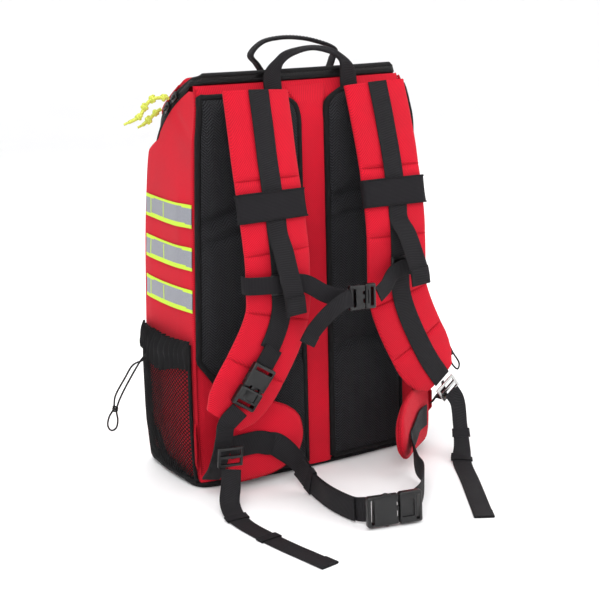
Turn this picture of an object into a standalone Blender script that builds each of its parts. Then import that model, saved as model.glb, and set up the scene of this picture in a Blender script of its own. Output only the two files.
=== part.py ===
"""Trauma backpack: a red clamshell pack with a padded harness, in metres, +Z up.

The origin is the middle of the base, where the pack stands. The harness faces -Y, the front
cover faces +Y, and +X is the right of somebody who looks at the harness.
"""

import math

import bmesh
import bpy
from mathutils import Matrix, Vector

# Driving dimensions of the pack body.
BACK_Y = -0.090  # harness side of the back panel, along the middle
FRONT_Y = 0.085  # outside of the front cover
TOP_Z = 0.510  # top of the back panel, under the zip
PANEL = 0.005  # lined fabric and foam of an ordinary wall
BACK_PANEL = 0.008
GAP = 0.0004  # between pieces that touch
EDGE_SETBACK = 0.010  # how far the back's side edges lie behind its middle
TOP_ROLL = 0.014  # how far the top of the back rolls forward
ROLL_HEIGHTS = (0.460, 0.487, TOP_Z)

# Half widths of the body at heights above the floor.
HALF_WIDTHS = [(0.0, 0.168), (0.06, 0.171), (0.17, 0.170), (0.34, 0.164), (0.45, 0.159), (0.51, 0.149)]

# The front line of the body's sides, from the floor to the top corner at the back: (y, z).
FRONT_LINE = [
    (0.060, 0.0), (0.066, 0.03), (0.068, 0.12), (0.067, 0.22), (0.065, 0.30), (0.060, 0.365),
    (0.050, 0.420), (0.026, 0.466), (-0.008, 0.501), (-0.060, 0.530),
]
COVER_BOW = 0.017  # how far the middle of the front cover stands out past its sides
COVER_STATIONS = [0.014 + 0.971 * i / 24 for i in range(25)]  # along the front line
SLOPE_STATION = 16  # where the cover's front panel ends and its sloping top begins
ZIP_WIDTH = 0.015  # both tapes and the teeth
ZIP_TURN = (0.73, 0.83)  # where it turns from the front face onto the sides, along the front line
ZIP_THICK = 0.003
ZIP_TOP = TOP_Z + GAP + ZIP_WIDTH + PANEL
POCKET_THICK = 0.0025

# Harness.
PAD_WIDTH = 0.087
PAD_THICK = 0.014
WEB = 0.025  # shoulder, handle and tail webbing
WEB_THICK = 0.0016
HIP_WEB = 0.030
CHEST_WEB = 0.022
PAD_ROUTE = [
    (0.0860, -0.1060, 0.503), (0.0875, -0.1170, 0.465), (0.0890, -0.1290, 0.420), (0.0890, -0.1400, 0.375),
    (0.0885, -0.1480, 0.335), (0.0875, -0.1520, 0.300), (0.0875, -0.1520, 0.268), (0.0885, -0.1520, 0.240),
    (0.0970, -0.1515, 0.212), (0.1140, -0.1485, 0.178), (0.1370, -0.1440, 0.140), (0.1630, -0.1380, 0.107),
]
PAD_STATIONS = 25
FLAP_STATION = 10  # where the upper webbing leaves the pad
BAND_STATIONS = (7, 9)  # the elastic band's ends
LEFT_WEB_END = 19  # the left webbing stops above its buckle

# Buckles: webbing width, female length, male length, thickness.
HIP_BUCKLE = (0.031, 0.040, 0.030, 0.011)
CHEST_BUCKLE = (0.024, 0.022, 0.016, 0.008)
SHOULDER_BUCKLE = (0.026, 0.032, 0.026, 0.010)

RED = (0.62, 0.012, 0.030)
BLACK_FABRIC = (0.012, 0.012, 0.013)
WEBBING = (0.020, 0.019, 0.020)
PLASTIC = (0.015, 0.015, 0.016)
METAL = (0.62, 0.62, 0.62)
LIME = (0.72, 0.85, 0.12)
REFLECTIVE = (0.42, 0.43, 0.46)
LINING = (0.03, 0.03, 0.034)
POLYETHYLENE = (0.05, 0.05, 0.055)


def clear_scene():
    for old in list(bpy.data.objects):
        bpy.data.objects.remove(old, do_unlink=True)


def finish_for(name, colour, roughness, metallic):
    finish = bpy.data.materials.new(name)
    finish.use_nodes = True
    shader = finish.node_tree.nodes["Principled BSDF"]
    shader.inputs["Base Color"].default_value = (*colour, 1.0)
    shader.inputs["Roughness"].default_value = roughness
    shader.inputs["Metallic"].default_value = metallic
    return finish


def add_object(name, bm, colour, roughness=0.85, metallic=0.0, pivot=(0, 0, 0)):
    """An object from the bmesh, whose points are world places, with its origin on the pivot."""
    bmesh.ops.recalc_face_normals(bm, faces=bm.faces[:])
    if bm.calc_volume(signed=True) < 0:
        bmesh.ops.reverse_faces(bm, faces=bm.faces[:])
    bmesh.ops.translate(bm, verts=bm.verts[:], vec=-Vector(pivot))
    mesh = bpy.data.meshes.new(name)
    bm.to_mesh(mesh)
    bm.free()
    mesh.materials.append(finish_for(name, colour, roughness, metallic))
    made = bpy.data.objects.new(name, mesh)
    made.location = pivot
    bpy.context.collection.objects.link(made)
    return made


def loft(sections, closed=False):
    """A bmesh through rings of equally many points: capped at its ends, or closed on itself."""
    bm = bmesh.new()
    rings = [[bm.verts.new(point) for point in section] for section in sections]
    count = len(rings[0])
    pairs = list(zip(rings, rings[1:]))
    if closed:
        pairs.append((rings[-1], rings[0]))
    for low, high in pairs:
        for i in range(count):
            j = (i + 1) % count
            bm.faces.new((low[i], low[j], high[j], high[i]))
    if not closed:
        bm.faces.new(rings[0][::-1])
        bm.faces.new(rings[-1])
    return bm


def smooth(route, count, facing=(0, -1, 0)):
    """Evenly spaced (place, across, outward) stations on a smooth curve through the route.

    A route point is x, y, z, which may be followed by the way its face looks there.
    """
    rows = [Vector([*p, *facing]) if len(p) == 3 else Vector(p) for p in map(tuple, route)]
    rows = [2 * rows[0] - rows[1], *rows, 2 * rows[-1] - rows[-2]]
    fine = []
    steps = 24
    for a, b, c, d in zip(rows, rows[1:], rows[2:], rows[3:]):
        for k in range(steps):
            t = k / steps
            fine.append(0.5 * (2 * b + (c - a) * t + (2 * a - 5 * b + 4 * c - d) * t * t
                               + (3 * b - a - 3 * c + d) * t ** 3))
    fine.append(rows[-2])
    line = evenly(fine, count)
    stations = []
    for i, row in enumerate(line):
        before, after = line[max(i - 1, 0)], line[min(i + 1, count - 1)]
        along = Vector((after - before)[:3]).normalized()
        across = along.cross(Vector(row[3:])).normalized()
        stations.append((Vector(row[:3]), across, across.cross(along).normalized()))
    return stations


def evenly(line, count):
    """That many evenly spaced rows on a line of rows, by the distance between their places."""
    lengths = [0.0]
    for a, b in zip(line, line[1:]):
        lengths.append(lengths[-1] + Vector((b - a)[:3]).length)
    placed = []
    k = 0
    for i in range(count):
        want = lengths[-1] * i / (count - 1)
        while k < len(line) - 2 and lengths[k + 1] < want:
            k += 1
        t = (want - lengths[k]) / max(lengths[k + 1] - lengths[k], 1e-9)
        placed.append(line[k] + (line[k + 1] - line[k]) * t)
    return placed


def strap_sections(stations, width, thick, lift=0.0):
    """Rings of a flat strap: its middle lies lift outwards of the stations."""
    sections = []
    for i, (place, across, outward) in enumerate(stations):
        half = (width[i] if isinstance(width, list) else width) / 2
        middle = place + outward * lift
        sections.append([
            middle - across * half - outward * thick / 2, middle + across * half - outward * thick / 2,
            middle + across * half + outward * thick / 2, middle - across * half + outward * thick / 2,
        ])
    return sections


def padded_sections(stations, widths, thick):
    """Rings of a padded strap, whose long edges are rounded to an eight-sided section."""
    sections = []
    for (place, across, outward), width in zip(stations, widths):
        half, inset, edge = width / 2, thick * 0.35, thick * 0.18
        outline = [
            (-half, -edge), (-half + inset, -thick / 2), (half - inset, -thick / 2), (half, -edge),
            (half, edge), (half - inset, thick / 2), (-half + inset, thick / 2), (-half, edge),
        ]
        sections.append([place + across * a + outward * b for a, b in outline])
    return sections


def strap(name, route, facing, width, colour=WEBBING, thick=WEB_THICK, count=14, pivot=(0, 0, 0)):
    stations = smooth(route, count, facing)
    return add_object(name, loft(strap_sections(stations, width, thick)), colour, 0.8, pivot=pivot)


def mirrored(route, side):
    return [(side * x, y, z) for x, y, z in route]


def box_bm(low, high):
    bm = bmesh.new()
    bmesh.ops.create_cube(bm, size=1.0)
    low, high = Vector(low), Vector(high)
    bmesh.ops.scale(bm, vec=high - low, verts=bm.verts[:])
    bmesh.ops.translate(bm, vec=(low + high) / 2, verts=bm.verts[:])
    return bm


def cut(target, name, low, high, place):
    """Cuts a box out of the target; low and high are in the place matrix's frame."""
    bm = box_bm(low, high)
    bmesh.ops.transform(bm, matrix=place, verts=bm.verts[:])
    cutter = add_object(name, bm, PLASTIC)
    cutter.hide_render = True
    cutter.display_type = "WIRE"
    modifier = target.modifiers.new(name, "BOOLEAN")
    modifier.operation = "DIFFERENCE"
    modifier.object = cutter


def half_width(z):
    """Half the body's width at a height."""
    for (z0, w0), (z1, w1) in zip(HALF_WIDTHS, HALF_WIDTHS[1:]):
        if z <= z1:
            return w0 + (w1 - w0) * max(z - z0, 0.0) / (z1 - z0)
    return HALF_WIDTHS[-1][1]


def back_y(x, z):
    """The harness side of the back panel: bowed across, and rolled forward at its top."""
    bow = EDGE_SETBACK * (x / half_width(z)) ** 2
    low, middle, high = ROLL_HEIGHTS
    lower = max(0.0, min(z, middle) - low) / (middle - low)
    upper = max(0.0, z - middle) / (high - middle)
    return BACK_Y + bow + TOP_ROLL * (0.3 * lower + 0.7 * upper)


def curved_slab(name, spans, front, thick, colour):
    """A slab that follows the back's bow: spans are (z, x low, x high), front its lift off it."""
    columns = 8
    sections = []
    for z, x0, x1 in spans:
        xs = [x0 + (x1 - x0) * i / columns for i in range(columns + 1)]
        outer = [(x, back_y(x, z) - front, z) for x in xs]
        inner = [(x, back_y(x, z) - front + thick, z) for x in reversed(xs)]
        sections.append(outer + inner)
    return add_object(name, loft(sections), colour)


def back_panels():
    heights = [0.003, 0.06, 0.12, 0.17, 0.26, 0.34, 0.40, 0.45, *ROLL_HEIGHTS]
    wide = [(z, -half_width(z), half_width(z)) for z in heights]
    curved_slab("back_panel", wide, 0.0, BACK_PANEL, RED)
    inner = [(z, -0.135, 0.135) for z in heights[1:-3]]
    curved_slab("frame_sheet", inner, -BACK_PANEL - GAP, 0.0018, POLYETHYLENE)
    strip = [(z, -w, w) for z, w in ((0.006, 0.0160), (0.12, 0.0165), (0.46, 0.0175), (0.487, 0.0175), (0.496, 0.018))]
    curved_slab("spine_strip", strip, 0.0045, 0.0045 - GAP, RED)
    for side, word in ((-1, "left"), (1, "right")):
        spans = []
        for z in (0.012, 0.05, 0.10, 0.14, 0.17, 0.26, 0.34, 0.45, 0.46, 0.487, 0.496):
            inner_x = 0.0205 + (0.010 if z > 0.49 else 0.0)
            outer_x = half_width(z) - 0.003
            if z < 0.17:
                outer_x -= 0.035 * (0.17 - z) / 0.05 if z > 0.12 else 0.035
            ends = sorted((side * inner_x, side * outer_x))
            spans.append((z, *ends))
        curved_slab(f"{word}_air_mesh_pad", spans, 0.011, 0.011 - GAP, BLACK_FABRIC)


FRONT_STEPS = 60
FRONT_CURVE = smooth([(0, y, z, 0, -z if z > 0.4 else -1, -1 if z > 0.4 else 0) for y, z in FRONT_LINE], FRONT_STEPS + 1)


def front_point(t, inset=0.0):
    """(y, z) of the side profile's front line at t from 0, the floor, to 1, the top; inset inwards."""
    k = min(int(t * FRONT_STEPS), FRONT_STEPS - 1)
    (here, _, inward), (there, _, _) = FRONT_CURVE[k], FRONT_CURVE[k + 1]
    return here.lerp(there, t * FRONT_STEPS - k) + inward * inset


def turned(t):
    """How far the zip has turned from the side, 0, onto the front face, 1."""
    low, high = ZIP_TURN
    return min(1.0, max(0.0, (high - t) / (high - low)))


def side_panels():
    """Walls whose front edge follows the sides' front line, beside or just inside the zip."""
    edge = PANEL + ZIP_WIDTH + 2 * GAP
    for side, word in ((-1, "left"), (1, "right")):
        sections = []
        for t in COVER_STATIONS[:24]:
            front = front_point(t, edge * min(1.0, 2 - 2 * turned(t)))
            z = front.z
            outer = side * half_width(z)
            inner = side * (half_width(z) - PANEL)
            back = back_y(outer, z) + BACK_PANEL + GAP
            if front.y > back + 0.008:
                sections.append([(outer, back, z), (outer, front.y, z), (inner, front.y, z), (inner, back, z)])
        add_object(f"{word}_side_panel", loft(sections), RED)


def base_and_dividers():
    inner = half_width(0.01) - PANEL - GAP
    back = BACK_Y + EDGE_SETBACK + BACK_PANEL + GAP
    bm = box_bm((-inner, back, 0.0), (inner, FRONT_Y - PANEL - ZIP_WIDTH - 0.0075, 0.006))
    add_object("base_panel", bm, RED)
    for word, z, reach in (("lower", 0.170, 0.048), ("upper", 0.335, 0.040)):
        half = half_width(z) - PANEL - 0.0015
        bm = box_bm((-half, back + 0.004, z), (half, reach, z + 0.008))
        add_object(f"{word}_divider", bm, LINING)


HINGE = (0.0, 0.062, 0.006)  # the sewn fold at the foot of the front cover


def zip_stations():
    """The stations of the front line where the tapes lie on the sides, clear of the back panel."""
    depth = PANEL + GAP + ZIP_WIDTH
    limit = back_y(half_width(TOP_Z), TOP_Z) + BACK_PANEL + 0.0035
    return [t for t in COVER_STATIONS[1:] if front_point(t, depth).y > limit]


def cover_panel(name, stations):
    """A panel of the front cover: it spans the body's width and bows out in the middle."""
    columns = 8
    sections = []
    for t in stations:
        ring = []
        for inset, order in ((0.0, 1), (PANEL, -1)):
            side = front_point(t, inset)
            half = half_width(side.z) - (PANEL + ZIP_WIDTH + 2 * GAP) * min(1.0, 2 * turned(t))
            for i in range(columns + 1):
                across = order * (2 * i / columns - 1)
                bow = COVER_BOW * (1 - across ** 2) * (1 - t ** 6) * min(1.0, 0.4 + 6 * t)
                place = front_point(t, inset - bow)
                ring.append((across * half, place.y, place.z))
        sections.append(ring)
    add_object(name, loft(sections), RED, pivot=HINGE)


def front_cover():
    cover_panel("front_cover_panel", COVER_STATIONS[:SLOPE_STATION + 1])
    first = COVER_STATIONS[SLOPE_STATION] + 0.0012
    cover_panel("top_slope_panel", [first, *COVER_STATIONS[SLOPE_STATION + 1:-1], 0.962])


def zip_side(side, near, far):
    """Rings of a tape up one side; near and far are its edges' distances from the cover's edge."""
    sections = []
    for t in zip_stations():
        f = turned(t)
        ring = []
        for edge, depth in ((near, ZIP_THICK), (near, 0.0), (far, 0.0), (far, ZIP_THICK)):
            place = front_point(t, (1 - f) * (PANEL + GAP + edge) + f * depth)
            x = half_width(place.z) - f * (PANEL + GAP + ZIP_WIDTH - edge) - (1 - f) * depth
            ring.append((side * x, place.y, place.z))
        sections.append(ring)
    x1, x0 = side * half_width(TOP_Z), side * (half_width(TOP_Z) - ZIP_THICK)
    y = back_y(x1, TOP_Z) + BACK_PANEL + 0.0025
    high, low = ZIP_TOP - PANEL - GAP - near, ZIP_TOP - PANEL - GAP - far
    sections.append([(x0, y, high), (x1, y, high), (x1, y, low), (x0, y, low)])
    return sections


def zip_tape(name, near, far, pivot):
    """One tape: up the left side, across the top of the back and down the right side."""
    across = []
    steps = 12
    reach = half_width(TOP_Z) - 0.007
    for i in range(steps + 1):
        x = reach * (2 * i / steps - 1)
        y, high, low = back_y(x, TOP_Z) + 0.0012, ZIP_TOP - PANEL - GAP - near, ZIP_TOP - PANEL - GAP - far
        across.append([(x, y + ZIP_THICK, high), (x, y, high), (x, y, low), (x, y + ZIP_THICK, low)])
    left = zip_side(-1, near, far)
    right = zip_side(1, near, far)
    return add_object(name, loft(left + across + right[::-1]), BLACK_FABRIC, pivot=pivot)


def zips():
    middle = ZIP_WIDTH / 2
    zip_tape("cover_zip_tape", 3 * GAP, middle - 1.5 * GAP, HINGE)
    zip_tape("body_zip_tape", middle + 1.5 * GAP, ZIP_WIDTH, (0, 0, 0))
    for word, t in (("lower", 0.868), ("upper", 0.912)):
        zip_slider(word, t, PANEL + GAP + middle)


# How the stiff corded pulls stand out from their sliders.
PULL_STEPS = {
    "upper": ((-0.0015, 0, -0.0008), (-0.013, 0, 0.0005), (-0.025, 0, -0.001), (-0.034, 0.001, -0.010), (-0.041, 0.002, -0.021),
              (-0.055, 0.003, -0.027)),
    "lower": ((-0.0015, 0, -0.0008), (-0.009, 0.001, -0.005), (-0.017, 0.001, -0.012), (-0.025, 0.002, -0.018)),
}


def zip_slider(word, t, depth):
    """A slider astride the teeth on the left shoulder of the pack, with its corded pull."""
    a, b = front_point(t - 0.02, depth), front_point(t + 0.02, depth)
    place, along = (a + b) / 2, (a - b).normalized()
    x = -half_width(place.z)
    up = along.cross(Vector((1, 0, 0)))
    turn = Matrix((Vector((1, 0, 0)), along, up)).transposed().to_4x4()
    turn.translation = Vector((x - 0.0045, place.y, place.z))
    pivot = tuple(turn.translation)
    bm = box_bm((-0.0025, -0.0065, -0.005), (0.0025, 0.0065, 0.005))
    bmesh.ops.transform(bm, matrix=turn, verts=bm.verts[:])
    add_object(f"{word}_zip_slider", bm, PLASTIC, 0.4, pivot=pivot)
    ring = turn @ Matrix.Translation((-0.0055, 0, 0))
    pull_pivot = ring.translation
    route = [pull_pivot + Vector(step) for step in PULL_STEPS[word]]
    tube(f"{word}_zip_pull", [tuple(p) for p in route], 0.0036, LIME, 9, tuple(pull_pivot))


def tube(name, route, radius, colour, count, pivot=(0, 0, 0)):
    """A round cord along a route, on a curve with filled caps."""
    curve = bpy.data.curves.new(name, "CURVE")
    curve.dimensions = "3D"
    curve.bevel_depth = radius
    curve.bevel_resolution = 2
    curve.use_fill_caps = True
    spline = curve.splines.new("POLY")
    stations = smooth(route, count)
    spline.points.add(len(stations) - 1)
    for slot, (point, _, _) in zip(spline.points, stations):
        slot.co = (*(point - Vector(pivot)), 1.0)
    curve.materials.append(finish_for(name, colour, 0.7, 0.0))
    made = bpy.data.objects.new(name, curve)
    made.location = pivot
    bpy.context.collection.objects.link(made)
    return made


def reflective_bands():
    """Three tapes across each side panel."""
    for side, word in ((-1, "left"), (1, "right")):
        for i, place in enumerate(("top", "middle", "bottom")):
            top = 0.367 - 0.0535 * i
            sections = []
            for z in (top - 0.029, top):
                x = side * (half_width(z) + GAP)
                y0, y1 = back_y(x, z) + BACK_PANEL + 0.003, 0.050
                ring = [(x, y0, z), (x + side * 0.0008, y0, z), (x + side * 0.0008, y1, z), (x, y1, z)]
                sections.append(ring)
            add_object(f"{word}_{place}_reflective_band", loft(sections), REFLECTIVE, 0.4)


def side_pockets():
    """A bulging mesh pocket on each side, open at the top, with its gathered hem."""
    rows = [(0.004, 0.006), (0.03, 0.014), (0.08, 0.019), (0.14, 0.020), (0.172, 0.0185), (0.184, 0.016), (0.195, 0.0135)]
    for side, word in ((-1, "left"), (1, "right")):
        sections = [pocket_ring(side, z, bulge, POCKET_THICK) for z, bulge in rows]
        add_object(f"{word}_mesh_pocket", loft(sections), BLACK_FABRIC)


def pocket_ring(side, z, bulge, thick):
    """A C-shaped ring round the outside of the side panel at a height."""
    base = half_width(z) + GAP * 2
    y0, y1 = -0.060, 0.062
    steps = 8
    outer, inner = [], []
    for i in range(steps + 1):
        f = i / steps
        y = y0 + (y1 - y0) * f
        swell = bulge * math.sin(math.pi * f) ** 0.5 if 0 < f < 1 else 0.0
        outer.append((side * (base + swell + thick), y, z))
        inner.append((side * (base + swell), y, z))
    return outer + inner[::-1]


def shoulder_stations(side):
    return smooth(mirrored(PAD_ROUTE, side), PAD_STATIONS)


# The loose end of the upper webbing: how far it has dropped, stood off the pad and swung aside.
FLAP_POINTS = ((0.022, 0.010, -0.0012), (0.050, 0.017, -0.0030), (0.078, 0.021, -0.0060), (0.100, 0.022, -0.0072))


def shoulder_strap(side, word):
    """A padded strap with the webbing sewn on it; the upper webbing's end hangs loose."""
    stations = shoulder_stations(side)
    widths = [PAD_WIDTH] * PAD_STATIONS
    widths[-3:] = [PAD_WIDTH * 0.96, PAD_WIDTH * 0.86, PAD_WIDTH * 0.62]
    add_object(f"{word}_shoulder_pad", loft(padded_sections(stations, widths, PAD_THICK)), RED)
    lift = PAD_THICK / 2 + GAP + WEB_THICK / 2
    upper = stations[: FLAP_STATION + 1]
    place, across, outward = stations[FLAP_STATION]
    for drop, off, swing in FLAP_POINTS:
        upper.append((place + Vector((0, 0, -drop)) + outward * off + across * swing, across, outward))
    add_object(f"{word}_upper_strap_webbing", loft(strap_sections(upper, WEB, WEB_THICK, lift)), WEBBING)
    lower = stations[FLAP_STATION:LEFT_WEB_END if side < 0 else PAD_STATIONS]
    start = lower[0][0].lerp(lower[1][0], 0.35)
    lower[0] = (start, lower[0][1], lower[0][2])
    add_object(f"{word}_lower_strap_webbing", loft(strap_sections(lower, WEB, WEB_THICK, lift)), WEBBING)
    elastic_band(word, stations)


def elastic_band(word, stations):
    """A sleeve of wide elastic round the pad and its webbing, closed on itself."""
    first, last = BAND_STATIONS
    clear = PAD_THICK / 2 + WEB_THICK + 3 * GAP
    thick = 0.0012
    sections = []
    for grow in (0.0, thick):
        for place, across, outward in (stations[first:last + 1] if grow == 0.0 else stations[first:last + 1][::-1]):
            half = PAD_WIDTH / 2 + 2 * GAP + grow
            low, high = -PAD_THICK / 2 - 2 * GAP - grow, clear + grow
            sections.append([place + across * a + outward * b
                             for a, b in ((-half, low), (half, low), (half, high), (-half, high))])
    add_object(f"{word}_elastic_band", loft(sections, closed=True), WEBBING)


def buckle(name, sizes, place):
    """A side-release buckle. In place's frame the male leaves towards +X and Z is its thickness."""
    web, female_length, male_length, thick = sizes
    width = web + 0.008
    half, slot = width / 2, thick / 2
    prong = female_length * 0.62
    bm = box_bm((-female_length, -half, -slot), (0, half, slot))
    bmesh.ops.transform(bm, matrix=place, verts=bm.verts[:])
    female = add_object(f"{name}_female", bm, PLASTIC, 0.45, pivot=tuple(place.translation))
    inner = thick * 0.27
    cut(female, f"{name}_cavity", (-prong - 0.001, -half + 0.003, -inner), (0.01, half - 0.003, inner), place)
    cut(female, f"{name}_side_windows", (-prong * 0.85, -half - 0.01, -inner), (-prong * 0.35, half + 0.01, inner), place)
    cut(female, f"{name}_web_slot", (-female_length + 0.004, -web / 2, -thick), (-female_length + 0.0085, web / 2, thick), place)
    bm = box_bm((GAP, -half, -slot), (male_length, half, slot))
    bmesh.ops.transform(bm, matrix=place, verts=bm.verts[:])
    male = add_object(f"{name}_male", bm, PLASTIC, 0.45, pivot=tuple(place.translation))
    cut(male, f"{name}_bar_slot", (male_length - 0.0085, -web / 2, -thick), (male_length - 0.004, web / 2, thick), place)
    fork(name, male, prong, half, inner - 0.0005, place)
    return female, male


def fork(name, male, prong, half, reach, place):
    """The two sprung arms and the guide tongue, joined to the male's body."""
    arm = 0.0035
    outer = half - 0.0035
    for word, low, high in (("left_arm", -outer, -outer + arm), ("right_arm", outer - arm, outer), ("tongue", -0.003, 0.003)):
        bm = box_bm((-prong, low, -reach), (0.002, high, reach))
        bmesh.ops.transform(bm, matrix=place, verts=bm.verts[:])
        piece = add_object(f"{name}_{word}", bm, PLASTIC)
        piece.hide_render = True
        piece.display_type = "WIRE"
        modifier = male.modifiers.new(word, "BOOLEAN")
        modifier.operation = "UNION"
        modifier.object = piece


def ladder_slide(name, place, width, length, thick, colour, metallic, tab=0.0):
    """A three-bar slide: webbing runs across its two windows."""
    bar = 0.0035
    bm = box_bm((-length / 2, -width / 2, -thick / 2), (length / 2, width / 2, thick / 2))
    bmesh.ops.transform(bm, matrix=place, verts=bm.verts[:])
    made = add_object(name, bm, colour, 0.35, metallic, tuple(place.translation))
    window = (length - 3 * bar) / 2
    for word, start in (("near", -length / 2 + bar), ("far", bar / 2)):
        low = (start, -width / 2 + bar, -0.01)
        cut(made, f"{name}_{word}_window", low, (start + window, width / 2 - bar, 0.01), place)
    if tab:
        bm = box_bm((length / 2 - 0.001, -width / 4, -thick / 2 + 0.0002), (length / 2 + tab, width / 4, thick / 2 - 0.0002))
        bmesh.ops.transform(bm, matrix=place, verts=bm.verts[:])
        piece = add_object(f"{name}_thumb_tab", bm, colour)
        piece.hide_render = True
        piece.display_type = "WIRE"
        modifier = made.modifiers.new("thumb_tab", "BOOLEAN")
        modifier.operation = "UNION"
        modifier.object = piece
    return made


def placed(origin, along, facing):
    """A matrix with X along, Z towards facing and its origin at the given place."""
    x = Vector(along).normalized()
    y = Vector(facing).cross(x).normalized()
    z = x.cross(y)
    turn = Matrix((x, y, z)).transposed().to_4x4()
    turn.translation = Vector(origin)
    return turn


def left_strap_hardware():
    stations = shoulder_stations(-1)
    place, across, outward = stations[21]
    along = (stations[23][0] - stations[19][0]).normalized()
    origin = place + outward * (PAD_THICK / 2 + SHOULDER_BUCKLE[3] / 2 + 0.0020)
    buckle("shoulder_buckle", SHOULDER_BUCKLE, placed(origin, along, outward))
    end = origin + along * (SHOULDER_BUCKLE[2] + 0.0035)
    last = stations[-1][0] + stations[-1][2] * 0.0125
    route = [tuple(end), tuple(last), (-0.1640, -0.141, 0.085), (-0.1625, -0.1275, 0.060), (-0.1625, -0.113, 0.035),
             (-0.1625, -0.0955, 0.017)]
    strap("left_lower_webbing", route, (-0.1, -1, 0.4), 0.0235, thick=0.0034, count=16)
    turn = placed((-0.1580, -0.1440, 0.060), (-0.02, 0.10, -0.9), (-0.15, -1, -0.1))
    ladder_slide("left_ladder_slide", turn, 0.033, 0.026, 0.0032, PLASTIC, 0.0)
    up, flat = (0, 0, 1), (-0.3, -0.9, 0.3)
    route = [(-0.158, -0.1450, 0.044, *flat), (-0.164, -0.154, 0.026, *flat), (-0.174, -0.170, 0.009, -0.2, -0.5, 0.9),
             (-0.180, -0.208, 0.0020, *up), (-0.173, -0.280, 0.0012, *up), (-0.155, -0.373, 0.0012, *up)]
    strap("left_strap_tail", route, up, WEB, count=20)


def right_strap_hardware():
    stations = shoulder_stations(1)
    place, across, outward = stations[-1]
    along = (stations[-1][0] - stations[-3][0]).normalized()
    origin = place + along * 0.022 + outward * 0.006
    ladder_slide("right_metal_slide", placed(origin, along, outward), 0.033, 0.024, 0.003, METAL, 1.0, tab=0.006)
    start = origin - outward * 0.0095 + along * 0.007
    route = [tuple(start), (0.1830, -0.120, 0.078), (0.1815, -0.111, 0.070), (0.1800, -0.1030, 0.063)]
    strap("right_lower_webbing", route, (0.3, -1, 0.6), WEB, count=7)
    low = origin + along * 0.004 + outward * 0.0045
    up, flat = (0, 0, 1), (0.05, -1, 0.1)
    route = [(*low, *flat), (0.186, -0.151, 0.070, *flat), (0.185, -0.158, 0.040, *flat), (0.178, -0.172, 0.012, 0, -0.7, 0.7),
             (0.160, -0.196, 0.0024, *up), (0.128, -0.256, 0.0012, *up), (0.071, -0.358, 0.0012, *up)]
    strap("right_strap_tail", route, up, WEB, count=22)


def corner_anchors():
    """Folded red triangles sewn into the lower corners, that hold the strap ends."""
    for side, word in ((-1, "left"), (1, "right")):
        bm = bmesh.new()
        outline = [(0.1715, -0.0800, 0.085), (0.1715, -0.0800, 0.030), (0.1815, -0.098, 0.052), (0.1815, -0.098, 0.072)]
        corners = [bm.verts.new((side * x, y, z)) for x, y, z in outline]
        face = bm.faces.new(corners)
        made = bmesh.ops.extrude_face_region(bm, geom=[face])
        moved = [v for v in made["geom"] if isinstance(v, bmesh.types.BMVert)]
        bmesh.ops.translate(bm, vec=(side * 0.0025, 0.0012, 0), verts=moved)
        add_object(f"{word}_corner_anchor", bm, RED)


def sternum_strap():
    """The chest strap: a slider on each shoulder strap, two webbings and a buckle."""
    rail = next(y for x, y, z in PAD_ROUTE if z < 0.31)
    y = rail - PAD_THICK / 2 - WEB_THICK - 0.001
    z = 0.274
    for side, word in ((-1, "left"), (1, "right")):
        bm = box_bm((side * 0.0875 - 0.0165, y - 0.0045, z - 0.013), (side * 0.0875 + 0.0165, y - 0.0005, z + 0.013))
        add_object(f"{word}_sternum_slider", bm, PLASTIC, 0.4)
    front = y - 0.0065
    turn = placed((0.015, -0.186, 0.248), (0.97, 0.0, -0.02), (0, -1, 0.05))
    buckle("sternum_buckle", CHEST_BUCKLE, turn)
    female_end = turn @ Vector((-CHEST_BUCKLE[1] - 0.003, 0, 0))
    male_end = turn @ Vector((CHEST_BUCKLE[2] + 0.0055, 0, 0))
    left_edge = -0.0875 - PAD_WIDTH / 2 - 0.004
    route = [(left_edge, rail + 0.002, z + 0.003, -1, -0.3, 0), (left_edge - 0.0005, rail - 0.011, z + 0.003, -1, -0.6, 0),
             (-0.118, front, z + 0.002, 0, -1, 0), (-0.0875, front, z, 0, -1, 0), (-0.060, front - 0.001, z - 0.002, 0, -1, 0),
             (-0.034, -0.178, 0.256, 0, -1, 0), (*female_end, 0, -1, 0)]
    strap("left_sternum_webbing", route, (0, -1, 0), CHEST_WEB, count=20)
    route = [tuple(male_end), (0.052, -0.180, 0.255), (0.072, front - 0.001, 0.268), (0.098, front, z)]
    strap("right_sternum_webbing", route, (0, -1, 0), CHEST_WEB, count=9)


def hip_wing(name, route, heights):
    """A padded wing, from its sewn root to its rounded tip; returns its stations."""
    stations = smooth(route, len(heights))
    add_object(name, loft(padded_sections(stations, heights, PAD_THICK)), RED)
    return stations


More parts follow.
